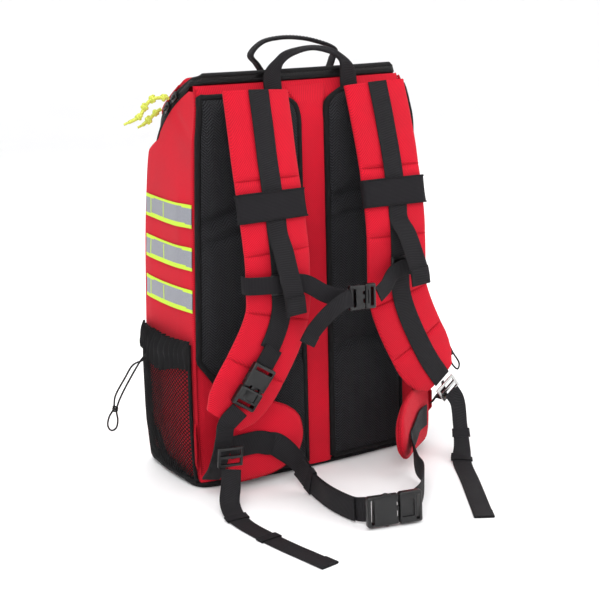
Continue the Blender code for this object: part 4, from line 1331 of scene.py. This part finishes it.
@dataclass
class ShoulderStraps:
    """The padded shoulder straps with their webbing, loose upper ends and elastic bands."""

    line: tuple = (
        (0.0860, -0.1060, 0.503), (0.0875, -0.1170, 0.465), (0.0890, -0.1290, 0.420),
        (0.0890, -0.1400, 0.375),
        (0.0885, -0.1480, 0.335), (0.0875, -0.1520, 0.300), (0.0875, -0.1520, 0.268),
        (0.0885, -0.1520, 0.240),
        (0.0970, -0.1515, 0.212), (0.1140, -0.1485, 0.178), (0.1370, -0.1440, 0.140),
        (0.1630, -0.1380, 0.107),
    )
    last: int = 24
    taper: tuple = ((0, 1.0), (21, 1.0), (22, 0.96), (23, 0.86), (24, 0.62))
    flap_from: int = 10
    flap: tuple = ((0.022, 0.010, -0.0012), (0.050, 0.017, -0.0030), (0.078, 0.021, -0.0060),
                   (0.100, 0.022, -0.0072))
    band: tuple[int, int] = (7, 9)
    seams: tuple = (0.398, 0.312, 0.232, 0.166)
    web_end: tuple[int, int] = (18, 24)
    lift: float = PAD_THICK / 2 + GAP + WEB_THICK / 2

    def route(self, side: int) -> Route:
        """The line of one strap."""
        return Route(mirrored(self.line, side), count=97)

    def half(self, v: float) -> float:
        """Half the pad's width at v, with its rounded tip."""
        at = v * self.last
        for (k0, f0), (k1, f1) in zip(self.taper, self.taper[1:]):
            if at <= k1:
                return PAD_WIDTH / 2 * (f0 + (f1 - f0) * (at - k0) / (k1 - k0))
        return PAD_WIDTH / 2 * self.taper[-1][1]

    def build(self) -> None:
        """Makes both straps."""
        for side, word in ((-1, "left"), (1, "right")):
            route = self.route(side)
            self.pad(word, route)
            self.webbing(side, word, route)
            self.elastic(word, route)

    def pad(self, word: str, route: Route) -> None:
        """The foam pad: red canvas outside, spacer mesh towards the wearer."""
        def place(u: float, v: float) -> Vector:
            """A point of the pad's skin, round it by u and along it by v."""
            middle, across, outward = route.at(v)
            half = self.half(v)
            groove = sum(math.exp(-((middle.z - z) / 0.0032) ** 2) for z in self.seams)
            thick = (PAD_THICK - 0.0015) * (1 - 0.34 * min(1.0, groove))
            a, b = section(u, half - 0.0008, thick, 2.9)
            wrinkle = 0.0008 * ripple(middle + across * a, 0.035) if b > 0 else 0.0
            return middle + across * a + outward * (b + wrinkle)

        bm = round_body(44, 130, place, (2 * PAD_WIDTH, route.length))
        rows = route.stations
        for face in bm.faces:
            centre = face.calc_center_median()
            near = min(rows, key=lambda row: (row[0] - centre).length)
            face.material_index = 1 if (centre - near[0]).dot(near[2]) < -0.0022 else 0
        made = settle(f"{word}_shoulder_cushion", bm, [RED_CANVAS, SPACER], "pack",
                      [f"{word}_shoulder_pad"], 70)
        band = (route.at(self.band[0] / self.last)[0].z + 0.004,
                route.at(self.band[1] / self.last)[0].z - 0.004)

        def sewn(place: Vector) -> float:
            """How firmly a point of the pad is held: 1 where it is sewn."""
            near = min(rows, key=lambda row: (row[0] - place).length)
            off = place - near[0]
            across, outward = off.dot(near[1]), off.dot(near[2])
            held = abs(across) < PAD_WEB / 2 + 0.002 or abs(across) > PAD_WIDTH / 2 - 0.006 or outward < 0.002
            seam = any(abs(place.z - z) < 0.004 for z in self.seams) or band[1] < place.z < band[0]
            return 1.0 if held or seam or place.z > 0.49 else 0.02

        inflate(made, sewn, 5.0, 0.0030)
        for number, z in enumerate(self.seams):
            v = min((i / 200 for i in range(201)), key=lambda s: abs(route.at(s)[0].z - z))
            middle, across, outward = route.at(v)
            line = [tuple(middle + across * (self.half(v) * s) + outward * (PAD_THICK * 0.32 * (1 - s ** 6)))
                    for s in (-0.97, -0.8, -0.5, 0, 0.5, 0.8, 0.97)]
            tube(f"{word}_strap_seam_{number + 1}", line, 0.0011, RED_BINDING, "pack", 30)

    def webbing(self, side: int, word: str, route: Route) -> None:
        """The upper webbing with its hemmed loose end, and the lower webbing down the pad."""
        def rows(first: int, last: int) -> list[tuple[float, ...]]:
            """Places on the pad's face with their outward directions, from one station to another."""
            made = []
            for i in range(first, last + 1):
                middle, _, outward = route.at(i / self.last)
                made.append((*(middle + outward * self.lift), *outward))
            return made

        middle, _, outward = route.at(self.flap_from / self.last)
        upper = rows(0, self.flap_from)
        short, flare = (1.0, 1.0) if side < 0 else (0.86, 1.5)
        for drop, off, swing in self.flap:
            place = middle + Vector((0, 0, -drop * short)) + outward * (off * flare + self.lift)
            upper.append((*(place + Vector((side * swing * flare * (-1 if side > 0 else 1.5), 0, 0))),
                          *outward))
        loose = Route(upper, count=90)
        strap(f"{word}_upper_webbing_run", loose, PAD_WEB, WEBBING, "pack", [f"{word}_upper_strap_webbing"],
              wave=0.0006)
        hem(f"{word}_upper_webbing_hem", loose, PAD_WEB, WEBBING, "pack", 0.022)
        lower = rows(self.flap_from, self.web_end[0] if side < 0 else self.web_end[1])
        strap(f"{word}_lower_webbing_run", Route(lower, count=60), PAD_WEB, WEBBING, "pack",
              [f"{word}_lower_strap_webbing"])

    def elastic(self, word: str, route: Route) -> None:
        """The wide elastic band round the pad and its webbing."""
        first, last = (k / self.last for k in self.band)

        def place(u: float, v: float) -> Vector:
            """A point of the elastic's skin, round the pad by u and along it by v."""
            middle, across, outward = route.at(first + (last - first) * v)
            snug = 0.0007 * math.sin(math.pi * v)
            a, b = section(u, PAD_WIDTH / 2 + 0.0016 - snug, PAD_THICK + 0.0060 - snug, 3.6)
            return middle + across * a + outward * (b + 0.0013 + 0.0005 * ripple(middle + across * a, 0.03))

        bm = grid_mesh(64, 16, place, (2 * PAD_WIDTH, 0.04))
        bmesh.ops.remove_doubles(bm, verts=bm.verts[:], dist=1e-6)
        bmesh.ops.recalc_face_normals(bm, faces=bm.faces[:])
        thicken(bm, 0.0011)
        settle(f"{word}_elastic_sleeve", bm, ELASTIC, "pack", [f"{word}_elastic_band"], 60)
        for edge, v in (("upper", 0.03), ("lower", 0.97)):
            line = [tuple(place(i / 48, v)) for i in range(49)]
            tube(f"{word}_sleeve_{edge}_edge", line, 0.0010, ELASTIC, "pack", 120)


@dataclass
class StrapEnds:
    """What joins the shoulder straps to the lower corners: buckle, slides, webbing, tails and anchors."""

    buckle: tuple = (0.026, 0.032, 0.026, 0.010)
    origin: tuple = (-0.1321, -0.1591, 0.1474)
    along: tuple = (-0.5469, 0.1138, -0.8294)
    outward: tuple = (-0.0597, -0.9939, -0.0925)
    left_low: tuple = ((-0.1640, -0.141, 0.085), (-0.1625, -0.1275, 0.060), (-0.1625, -0.113, 0.035),
                       (-0.1625, -0.0955, 0.017))
    left_tail: tuple = (
        (-0.158, -0.1450, 0.044, -0.3, -0.9, 0.3), (-0.164, -0.154, 0.026, -0.3, -0.9, 0.3),
        (-0.174, -0.170, 0.009, -0.2, -0.5, 0.9), (-0.180, -0.208, 0.0020, 0, 0, 1),
        (-0.173, -0.280, 0.0012, 0, 0, 1),
        (-0.155, -0.373, 0.0012, 0, 0, 1),
    )
    right_low: tuple = ((0.1830, -0.120, 0.078), (0.1815, -0.111, 0.070), (0.1800, -0.1030, 0.063))
    right_tail: tuple = (
        (0.186, -0.151, 0.070, 0.05, -1, 0.1), (0.185, -0.158, 0.040, 0.05, -1, 0.1),
        (0.178, -0.172, 0.012, 0, -0.7, 0.7),
        (0.160, -0.196, 0.0024, 0, 0, 1), (0.128, -0.256, 0.0012, 0, 0, 1), (0.071, -0.358, 0.0012, 0, 0, 1),
    )
    anchor: tuple = ((0.1715, -0.0800, 0.088), (0.1715, -0.0800, 0.027), (0.1815, -0.098, 0.050),
                     (0.1815, -0.098, 0.074))

    def build(self, straps: ShoulderStraps) -> None:
        """Makes both sides' ends."""
        self.left(straps.route(-1))
        self.right(straps.route(1))
        for side, word in ((-1, "left"), (1, "right")):
            self.corner(side, word)

    def left(self, route: Route) -> None:
        """The buckled side."""
        turn = placed(self.origin, self.along, self.outward)
        Buckle("shoulder_buckle", *self.buckle, turn, "pack", "shoulder_buckle_male").build()
        along, outward = Vector(self.along), Vector(self.outward)
        start = Vector(self.origin) + along * (self.buckle[2] + 0.0035)
        tip, _, out = route.stations[-1]
        points = [tuple(start), tuple(tip + out * 0.0125), *self.left_low]
        run = Route(points, (-0.1, -1, 0.4), 50)
        made = strap("left_lower_run", run, 0.0235, WEBBING, None, ["left_lower_webbing"], thick=0.0034)
        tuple(self.left_low[0])
        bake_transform(made)
        joined = Route([tuple(Vector(self.origin) - along * 0.030 - outward * 0.003),
                        tuple(Vector(self.origin) - along * 0.056 - outward * 0.0045)], self.outward, 12)
        strap("shoulder_buckle_webbing", joined, 0.026, WEBBING, "pack", thick=0.003)
        Slide("left_ladder_slide", placed((-0.1580, -0.1440, 0.060), (-0.02, 0.10, -0.9),
                                          (-0.15, -1, -0.1)), 0.033, 0.026,
              0.0032, ACETAL).build()
        self.tail("left", Route(self.left_tail, (0, 0, 1), 90), (0.30, 0.58))

    def right(self, route: Route) -> None:
        """The side with the metal slide."""
        tip, _, outward = route.stations[-1]
        along = (tip - route.at(22 / 24)[0]).normalized()
        origin = tip + along * 0.022 + outward * 0.006
        Slide("right_metal_slide", placed(origin, along, outward), 0.033, 0.024, 0.003, ZINC,
              tab=0.006).build()
        points = [tuple(origin - outward * 0.0095 + along * 0.007), *self.right_low]
        strap("right_lower_run", Route(points, (0.3, -1, 0.6), 20), WEB, WEBBING, "pack",
              ["right_lower_webbing"])
        points = [(*(origin + along * 0.004 + outward * 0.0045), 0.05, -1, 0.1), *self.right_tail]
        self.tail("right", Route(points, (0, 0, 1), 100), (0.20, 0.34))

    def tail(self, word: str, route: Route, keepers: tuple[float, float]) -> None:
        """A loose strap end on the floor, with its keepers and its hem."""
        strap(f"{word}_tail_run", route, WEB, WEBBING, "pack", [f"{word}_strap_tail"], wave=0.0003)
        hem(f"{word}_tail_hem", route, WEB, WEBBING, "pack", 0.020)
        for number, v in enumerate(keepers):
            keeper(f"{word}_tail_keeper_{number + 1}", route, v, WEB, 0.0034, ELASTIC, "pack", 0.0004)

    def corner(self, side: int, word: str) -> None:
        """A folded red triangle that holds the strap's end, drawn in the darker seam red as painted shade."""
        outline = [Vector((side * x, y, z)) for x, y, z in self.anchor]

        def place(u: float, v: float) -> Vector:
            """A point of the folded cloth, between its four corners."""
            point = outline[0].lerp(outline[1], v).lerp(outline[3].lerp(outline[2], v), u)
            return point + Vector((side * 0.0012 * math.sin(math.pi * u), 0, 0))

        bm = grid_mesh(10, 12, place, (0.02, 0.06))
        thicken(bm, 0.0025)
        settle(f"{word}_anchor_fold", bm, RED_BINDING, "pack", [f"{word}_corner_anchor"])


@dataclass
class SternumStrap:
    """The chest strap: sliders, elastic loop, webbings and a small buckle."""

    z: float = 0.274
    front: float = -0.1681
    rail: float = -0.152
    buckle: tuple = (0.024, 0.022, 0.016, 0.008)
    origin: tuple = (0.015, -0.186, 0.248)
    body: str = "sternum_strap"

    def build(self) -> None:
        """Makes the strap from left to right."""
        turn = placed(self.origin, (0.97, 0.0, -0.02), (0, -1, 0.05))
        Buckle("sternum_buckle", *self.buckle, turn, self.body, "sternum_buckle_male").build()
        for side, word in ((-1, "left"), (1, "right")):
            self.slider(word)
        female, male = turn @ Vector((-0.025, 0, 0)), turn @ Vector((0.0215, 0, 0))
        z, edge = self.z, -0.0875 - PAD_WIDTH / 2 - 0.004
        left = [(edge, self.rail + 0.002, z + 0.003, -1, -0.3, 0),
                (edge - 0.0005, self.rail - 0.011, z + 0.003, -1, -0.6, 0),
                (-0.118, self.front, z + 0.002, 0, -1, 0), (-0.0875, self.front, z, 0, -1, 0),
                (-0.060, self.front - 0.001, z - 0.002, 0, -1, 0), (-0.034, -0.178, 0.256, 0, -1, 0),
                (*female, 0, -1, 0)]
        strap("left_sternum_run", Route(left, count=60), CHEST_WEB, ELASTIC, self.body,
              ["left_sternum_webbing"], wave=0.0005)
        tail = Route([(-0.006, -0.1905, 0.2505), (-0.024, -0.1925, 0.2455), (-0.044, -0.191, 0.232),
                      (-0.060, -0.188, 0.215),
                      (-0.069, -0.186, 0.200)], (0, -1, 0.1), 40)
        strap("sternum_tail_run", tail, CHEST_WEB, WEBBING, self.body, wave=0.0006)
        hem("sternum_tail_hem", tail, CHEST_WEB, WEBBING, self.body, 0.014)
        right = [tuple(male), (0.052, -0.180, 0.255), (0.072, self.front - 0.001, 0.268),
                 (0.098, self.front, z)]
        made = strap("right_sternum_run", Route(right, count=30), CHEST_WEB, WEBBING, None,
                     ["right_sternum_webbing"])
        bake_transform(made)

    def slider(self, word: str) -> None:
        """The clip that grips the shoulder strap's webbing, with its two windows."""
        low, high = (Vector(corner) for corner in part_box(f"{word}_sternum_slider"))
        middle = (low + high) / 2
        half = (high - low) / 2
        solid = bmesh.new()
        bar(solid, (-half.x, -half.y, -half.z), (half.x, half.y, half.z), 0.0014, 3)
        cuts = [((-half.x + 0.0035, -0.02, 0.0015), (half.x - 0.0035, 0.02, half.z - 0.0035)),
                ((-half.x + 0.0035, -0.02, -half.z + 0.0035), (half.x - 0.0035, 0.02, -0.0015))]
        bm = carved(f"{word}_clip", solid, cuts)
        bmesh.ops.translate(bm, vec=middle, verts=bm.verts[:])
        settle(f"{word}_sternum_clip", bm, ACETAL, self.body, [f"{word}_sternum_slider"], 32)


@dataclass
class HipBelt:
    """The padded wings, their webbings and the wide buckle on the floor in front."""

    left_line: tuple = ((-0.145, -0.1100, 0.062), (-0.112, -0.1140, 0.064), (-0.077, -0.1175, 0.063),
                        (-0.042, -0.1200, 0.060))
    left_heights: tuple = (0.100, 0.101, 0.101, 0.100, 0.097, 0.091, 0.081, 0.065, 0.036)
    right_line: tuple = ((0.160, -0.1090, 0.052), (0.130, -0.1290, 0.052), (0.098, -0.1580, 0.052),
                         (0.064, -0.1900, 0.050))
    right_heights: tuple = (0.080, 0.084, 0.086, 0.086, 0.084, 0.080, 0.072, 0.058, 0.034)
    buckle: tuple = (0.031, 0.040, 0.030, 0.011)
    lift: float = PAD_THICK / 2 + 0.0034
    left_run: tuple = (
        (-0.0660, -0.150, 0.037, -1, -0.5, 0), (-0.0630, -0.185, 0.0180, -1, -0.05, 0),
        (-0.0680, -0.235, 0.0168, -1, -0.05, 0), (-0.0640, -0.280, 0.0168, -1, -0.05, 0),
    )
    right_run: tuple = (
        (0.0800, -0.205, 0.0210, 1, -0.3, 0), (0.0700, -0.235, 0.0175, 1, -0.2, 0),
        (0.0350, -0.280, 0.0168, 0.8, -0.6, 0),
    )

    def build(self) -> None:
        """Makes the wings, the buckle and the webbings."""
        left, right = Route(self.left_line, count=73), Route(self.right_line, count=73)
        self.wing("left", left, self.left_heights)
        self.wing("right", right, self.right_heights)
        turn = placed((-0.026, -0.317, 0.0215), (0.98, -0.20, 0), (-0.2, -0.98, 0.05))
        Buckle("hip_buckle", *self.buckle, turn, "pack", "hip_buckle_male").build()
        behind = -self.buckle[3] / 2 - 0.0045
        female, male = turn @ Vector((-self.buckle[1] + 0.006, 0,
                                      behind)), turn @ Vector((self.buckle[2] - 0.006, 0, behind))
        rows = self.on_wing(left, range(0, 6), (0, 0, 0, 0, -0.004, -0.008), (0, -1, 0))
        run = Route([*rows, *self.left_run, (*female, -1, -0.2, 0)], count=110)
        strap("left_hip_run", run, HIP_WEB, WEBBING, "pack", ["left_hip_webbing"], wave=0.0006)
        self.doubled("left", run, (0.42, 0.93), 0.0030, "pack")
        rows = self.on_wing(right, range(1, 7), (0, 0, 0, -0.004, -0.008, -0.014), None)
        run = Route([*rows, *self.right_run, (*male, 1, -0.2, 0)], count=110)
        made = strap("right_hip_run", run, HIP_WEB, WEBBING, None, ["right_hip_webbing"], wave=0.0006)
        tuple(self.right_run[0][:3])
        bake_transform(made)

    def on_wing(self, wing: Route, picks: Sequence[int], drops: Sequence[float],
                facing: Point | None) -> list[tuple[float, ...]]:
        """The webbing's rows on a wing, each dropped a little."""
        rows = []
        for k, drop in zip(picks, drops):
            place, _, outward = wing.stations[k * 9]
            rows.append((*(place + outward * self.lift + Vector((0, 0, drop))), *(facing or outward)))
        return rows

    def doubled(self, word: str, run: Route, span: tuple[float, float], lift: float, body: str) -> None:
        """The webbing's end folded back along itself, with its hem and a keeper."""
        first, last = span
        points = [(*run.at(last + (first - last) * i / 12)[0], *run.at(last + (first - last) * i / 12)[2])
                  for i in range(13)]
        back = Route(points, count=60)
        strap(f"{word}_hip_return", back, HIP_WEB, WEBBING, body, lift=lift, wave=0.0008)
        hem(f"{word}_hip_hem", back, HIP_WEB, WEBBING, body, 0.024, lift)
        keeper(f"{word}_hip_keeper", back, 0.80, HIP_WEB, 0.0085, ELASTIC, body, lift / 2)

    def wing(self, word: str, route: Route, heights: tuple) -> None:
        """A crowned pad that narrows to its rounded tip, piped along its edge."""
        def half(v: float) -> float:
            """Half the wing's height at v, less towards its tip."""
            at = min(v, 0.9999) * (len(heights) - 1)
            k = int(at)
            flat = heights[k] + (heights[k + 1] - heights[k]) * (at - k)
            tip = max(0.0, (v - 0.93) / 0.07)
            return flat / 2 * math.sqrt(max(0.04, 1 - 0.9 * tip * tip))

        def place(u: float, v: float) -> Vector:
            """A point of the wing's skin, round it by u and along it by v."""
            middle, across, outward = route.at(v)
            tip = max(0.0, (v - 0.90) / 0.10)
            a, b = section(u, half(v), PAD_THICK * (1 - 0.45 * tip * tip), 2.6)
            return middle + across * a + outward * (b + 0.0010 * ripple(middle + across * a, 0.04))

        bm = round_body(40, 60, place, (0.2, route.length))
        made = settle(f"{word}_wing_cushion", bm, RED_CANVAS, "pack", [f"{word}_hip_wing"], 70)
        rows = route.stations

        def sewn(place: Vector) -> float:
            """How firmly a point of the wing is held: 1 where it is sewn."""
            near = min(rows, key=lambda row: (row[0] - place).length)
            k = rows.index(near) / (len(rows) - 1)
            off = place - near[0]
            rim = abs(off.dot(near[1])) > half(k) - 0.006
            end = k < 0.04 or k > 0.95
            return 1.0 if rim or end or off.dot(near[2]) < 0 else 0.02

        inflate(made, sewn, 4.0, 0.0035, 14)
        steps = [i / 30 for i in range(31)]
        line = [tuple(route.at(v)[0] + route.at(v)[1] * half(v)) for v in steps]
        line += [tuple(route.at(v)[0] - route.at(v)[1] * half(v)) for v in reversed(steps)]
        tube(f"{word}_wing_piping", line, 0.0020, RED_BINDING, "pack", 160)


@dataclass
class Handles:
    """Two carrying loops: flat webbing at their feet, rolled into a thick grip at their tops."""

    rear: tuple = (
        (-0.051, -0.087, 0.500, 0, -1, 0), (-0.049, -0.085, 0.521, 0, -1, 0),
        (-0.031, -0.083, 0.541, 0, -0.7, 0.7),
        (0.000, -0.082, 0.549, 0, -0.3, 1), (0.027, -0.083, 0.547, 0.1, -0.5, 0.8),
        (0.048, -0.084, 0.538, 0.3, -0.8, 0.5),
        (0.0585, -0.085, 0.522, 0.1, -1, 0), (0.060, -0.087, 0.500, 0, -1, 0),
    )
    front: tuple = (
        (-0.0420, -0.045, 0.5200, -0.9, 0, -0.4), (-0.0500, -0.045, 0.5310, -0.8, 0, -0.5),
        (-0.058, -0.045, 0.543, -0.95, 0, 0.3),
        (-0.040, -0.045, 0.558, -0.35, 0, 0.94), (-0.005, -0.045, 0.5620, 0, 0, 1),
        (0.032, -0.045, 0.557, 0.25, 0, 0.97),
        (0.064, -0.045, 0.545, 0.9, 0, 0.45), (0.061, -0.045, 0.5310, 0.9, 0, -0.3),
        (0.056, -0.045, 0.5200, 0.9, 0, -0.4),
    )
    feet: tuple = (("rear", 0.025), ("front", 0.015))
    grip: tuple[float, float] = (0.0120, 0.0052)

    def build(self) -> None:
        """Makes both loops."""
        for (word, foot), points in zip(self.feet, (self.rear, self.front)):
            self.loop(word, Route(points, count=97), foot)

    def loop(self, word: str, route: Route, foot: float) -> None:
        """One loop."""
        def place(u: float, v: float) -> Vector:
            """A point of the handle's skin, round it by u and along it by v."""
            middle, across, outward = route.at(v)
            rolled = max(0.0, min(1.0, (min(v, 1 - v) - 0.08) / 0.16))
            rolled = rolled * rolled * (3 - 2 * rolled)
            width, thick = foot + (self.grip[0] - foot) * rolled, 0.0036 + (self.grip[1] - 0.0036) * rolled
            a, b = section(u, width / 2, thick, 4.6 - 2.0 * rolled)
            return middle + across * a + outward * (b + 0.0004 * ripple(middle, 0.02))

        bm = round_body(28, 110, place, (2 * WEB, route.length))
        settle(f"{word}_handle_loop", bm, WEBBING, f"{word}_handle", [f"{word}_handle"])
        seam = [(route.at(0.2 + 0.6 * i / 90)[0] + route.at(0.2 + 0.6 * i / 90)[2] * (self.grip[1] / 2),
                 route.at(0.2 + 0.6 * i / 90)[2]) for i in range(91)]
        stitches(f"{word}_handle_stitches", seam, BINDING, f"{word}_handle")


@dataclass
class Drawcords:
    """Each pocket's elastic cord: out of the hem, down to its knotted loop and back."""

    radius: float = 0.00125
    left: tuple = (
        (-0.1950, 0.006, 0.166), (-0.2010, 0.016, 0.156), (-0.2090, 0.032, 0.132), (-0.2190, 0.050, 0.100),
        (-0.2238, 0.0570, 0.080), (-0.2238, 0.0550, 0.066), (-0.2262, 0.0560, 0.055),
        (-0.2318, 0.0605, 0.051),
        (-0.2352, 0.0635, 0.058), (-0.2325, 0.0630, 0.070), (-0.2265, 0.0605, 0.081),
        (-0.2225, 0.0615, 0.098),
        (-0.2120, 0.0500, 0.124), (-0.2050, 0.0380, 0.143), (-0.1950, 0.0260, 0.151),
    )
    knots: tuple = ((4, 10), (4, 8))
    right: tuple = (
        (0.1945, -0.046, 0.174), (0.2030, -0.054, 0.168), (0.2140, -0.064, 0.152), (0.2250, -0.073, 0.133),
        (0.2315, -0.079, 0.116), (0.2370, -0.086, 0.102), (0.2365, -0.083, 0.092), (0.2310, -0.077, 0.100),
        (0.2275, -0.074, 0.115), (0.2210, -0.067, 0.130), (0.2105, -0.057, 0.147), (0.2010, -0.049, 0.158),
        (0.1945, -0.042, 0.160),
    )

    def build(self) -> None:
        """Makes both cords with their knots."""
        for (word, route), (go, back) in zip((("left", self.left), ("right", self.right)), self.knots):
            cord = tube(f"{word}_pocket_cord", route, self.radius, CORD_BRAID, "pack", 90,
                        [f"{word}_drawcord"])
            place = (Vector(route[go]) + Vector(route[back])) / 2
            along = Vector(route[go + 1]) - Vector(route[go - 1])
            turn = placed(place, along, (0, 1, 0.2))
            wound = [tuple(turn @ Vector((0.0030 * (i / 9 - 1), 0.0030 * math.cos(i * 0.75),
                                          0.0030 * math.sin(i * 0.75))))
                     for i in range(19)]
            knot = tube(f"{word}_cord_knot", wound, self.radius, CORD_BRAID, "pack", 60)
            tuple(route[0])
            line_length(route)


# ------------------------------------------------------------------------------------------ the studio


@dataclass
class Studio:
    """The camera, three soft lights and a pale floor."""

    target: tuple = (-0.0244, -0.0950, 0.2315)
    azimuth: float = -30.04
    elevation: float = 13.40
    distance: float = 1.7405
    roll: float = -1.46
    lens: float = 81.1
    lights: tuple = (
        ("key", (-1.5, -2.1, 2.3), 1.8, 42.0), ("fill", (2.2, -1.6, 1.5), 2.2, 20.0),
        ("top", (0.0, 0.3, 2.8), 2.6, 34.0),
        ("rear", (0.6, 2.4, 1.8), 2.0, 20.0),
    )
    sky: float = 0.95
    room: float = 5.0

    def build(self) -> None:
        """Sets the stage."""
        self.camera()
        for name, place, size, power in self.lights:
            light = bpy.data.lights.new(name, "AREA")
            light.size = size
            light.energy = power
            lamp = bpy.data.objects.new(name, light)
            lamp.location = place
            lamp.rotation_euler = (Vector((0, -0.05, 0.25)) - Vector(place)).to_track_quat("-Z",
                                                                                           "Y").to_euler()
            bpy.context.collection.objects.link(lamp)
        world = bpy.data.worlds.new("studio")
        world.use_nodes = True
        world.node_tree.nodes["Background"].inputs[0].default_value = linear("FFFFFF")
        world.node_tree.nodes["Background"].inputs[1].default_value = self.sky
        bpy.context.scene.world = world
        bpy.context.scene.view_settings.view_transform = "Standard"
        self.floor()

    def camera(self) -> None:
        """The camera, aimed from its angles and rolled a little."""
        az, el, roll = (math.radians(a) for a in (self.azimuth, self.elevation, self.roll))
        away = Vector((math.cos(el) * math.sin(az), -math.cos(el) * math.cos(az), math.sin(el)))
        right = Vector((0, 0, 1)).cross(away).normalized()
        up = away.cross(right)
        turned = Matrix((right * math.cos(roll) + up * math.sin(roll),
                         up * math.cos(roll) - right * math.sin(roll), away))
        lens = bpy.data.cameras.new("camera")
        lens.lens = self.lens
        lens.sensor_width = 36.0
        view = bpy.data.objects.new("camera", lens)
        view.matrix_world = turned.transposed().to_4x4()
        view.location = Vector(self.target) + away * self.distance
        bpy.context.collection.objects.link(view)
        bpy.context.scene.camera = view

    def floor(self) -> None:
        """A pale floor that curves up all round into a wall."""
        bm = bmesh.new()
        line = [(0.0, 0.0), (self.room - 1.5, 0.0)]
        line += [(self.room - 1.5 + 1.5 * math.sin(a * math.pi / 16),
                  1.5 - 1.5 * math.cos(a * math.pi / 16)) for a in range(1, 9)]
        line.append((self.room, 6.0))
        verts = [bm.verts.new((x, 0, z)) for x, z in line]
        edges = [bm.edges.new(pair) for pair in zip(verts, verts[1:])]
        bmesh.ops.spin(bm, geom=verts + edges, cent=(0, 0, 0), axis=(0, 0, 1), angle=2 * math.pi, steps=64,
                       use_merge=True)
        bmesh.ops.remove_doubles(bm, verts=bm.verts[:], dist=1e-4)
        mesh = bpy.data.meshes.new("floor")
        bm.to_mesh(mesh)
        bm.free()
        mesh.shade_smooth()
        made = bpy.data.objects.new("floor", mesh)
        bpy.context.collection.objects.link(made)
        paint = bpy.data.materials.new("white_paper")
        paint.use_nodes = True
        tree = paint.node_tree
        clouds = add(tree, "ShaderNodeTexNoise",
                     {"Vector": add(tree, "ShaderNodeTexCoord").outputs["Object"], "Scale": 3.0})
        tint = add(tree, "ShaderNodeMix",
                   {"Factor": clouds.outputs[0], 6: linear("F6F6F7"), 7: linear("F9F9F9")}, data_type="RGBA")
        tree.links.new(tint.outputs[2], tree.nodes["Principled BSDF"].inputs["Base Color"])
        tree.nodes["Principled BSDF"].inputs["Roughness"].default_value = 0.9
        mesh.materials.append(paint)


def main() -> None:
    """Builds the pack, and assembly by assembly."""
    logging.basicConfig(level=logging.INFO, format="%(message)s")
    Studio().build()
    Drawcords().build()
    BackPanels().build()
    BodyWalls().build()
    FrontCover().build()
    Zip().build()
    ReflectiveBands().build()
    SidePockets().build()
    straps = ShoulderStraps()
    straps.build()
    StrapEnds().build(straps)
    SternumStrap().build()
    HipBelt().build()
    Handles().build()


if __name__ == "__main__":
    main()
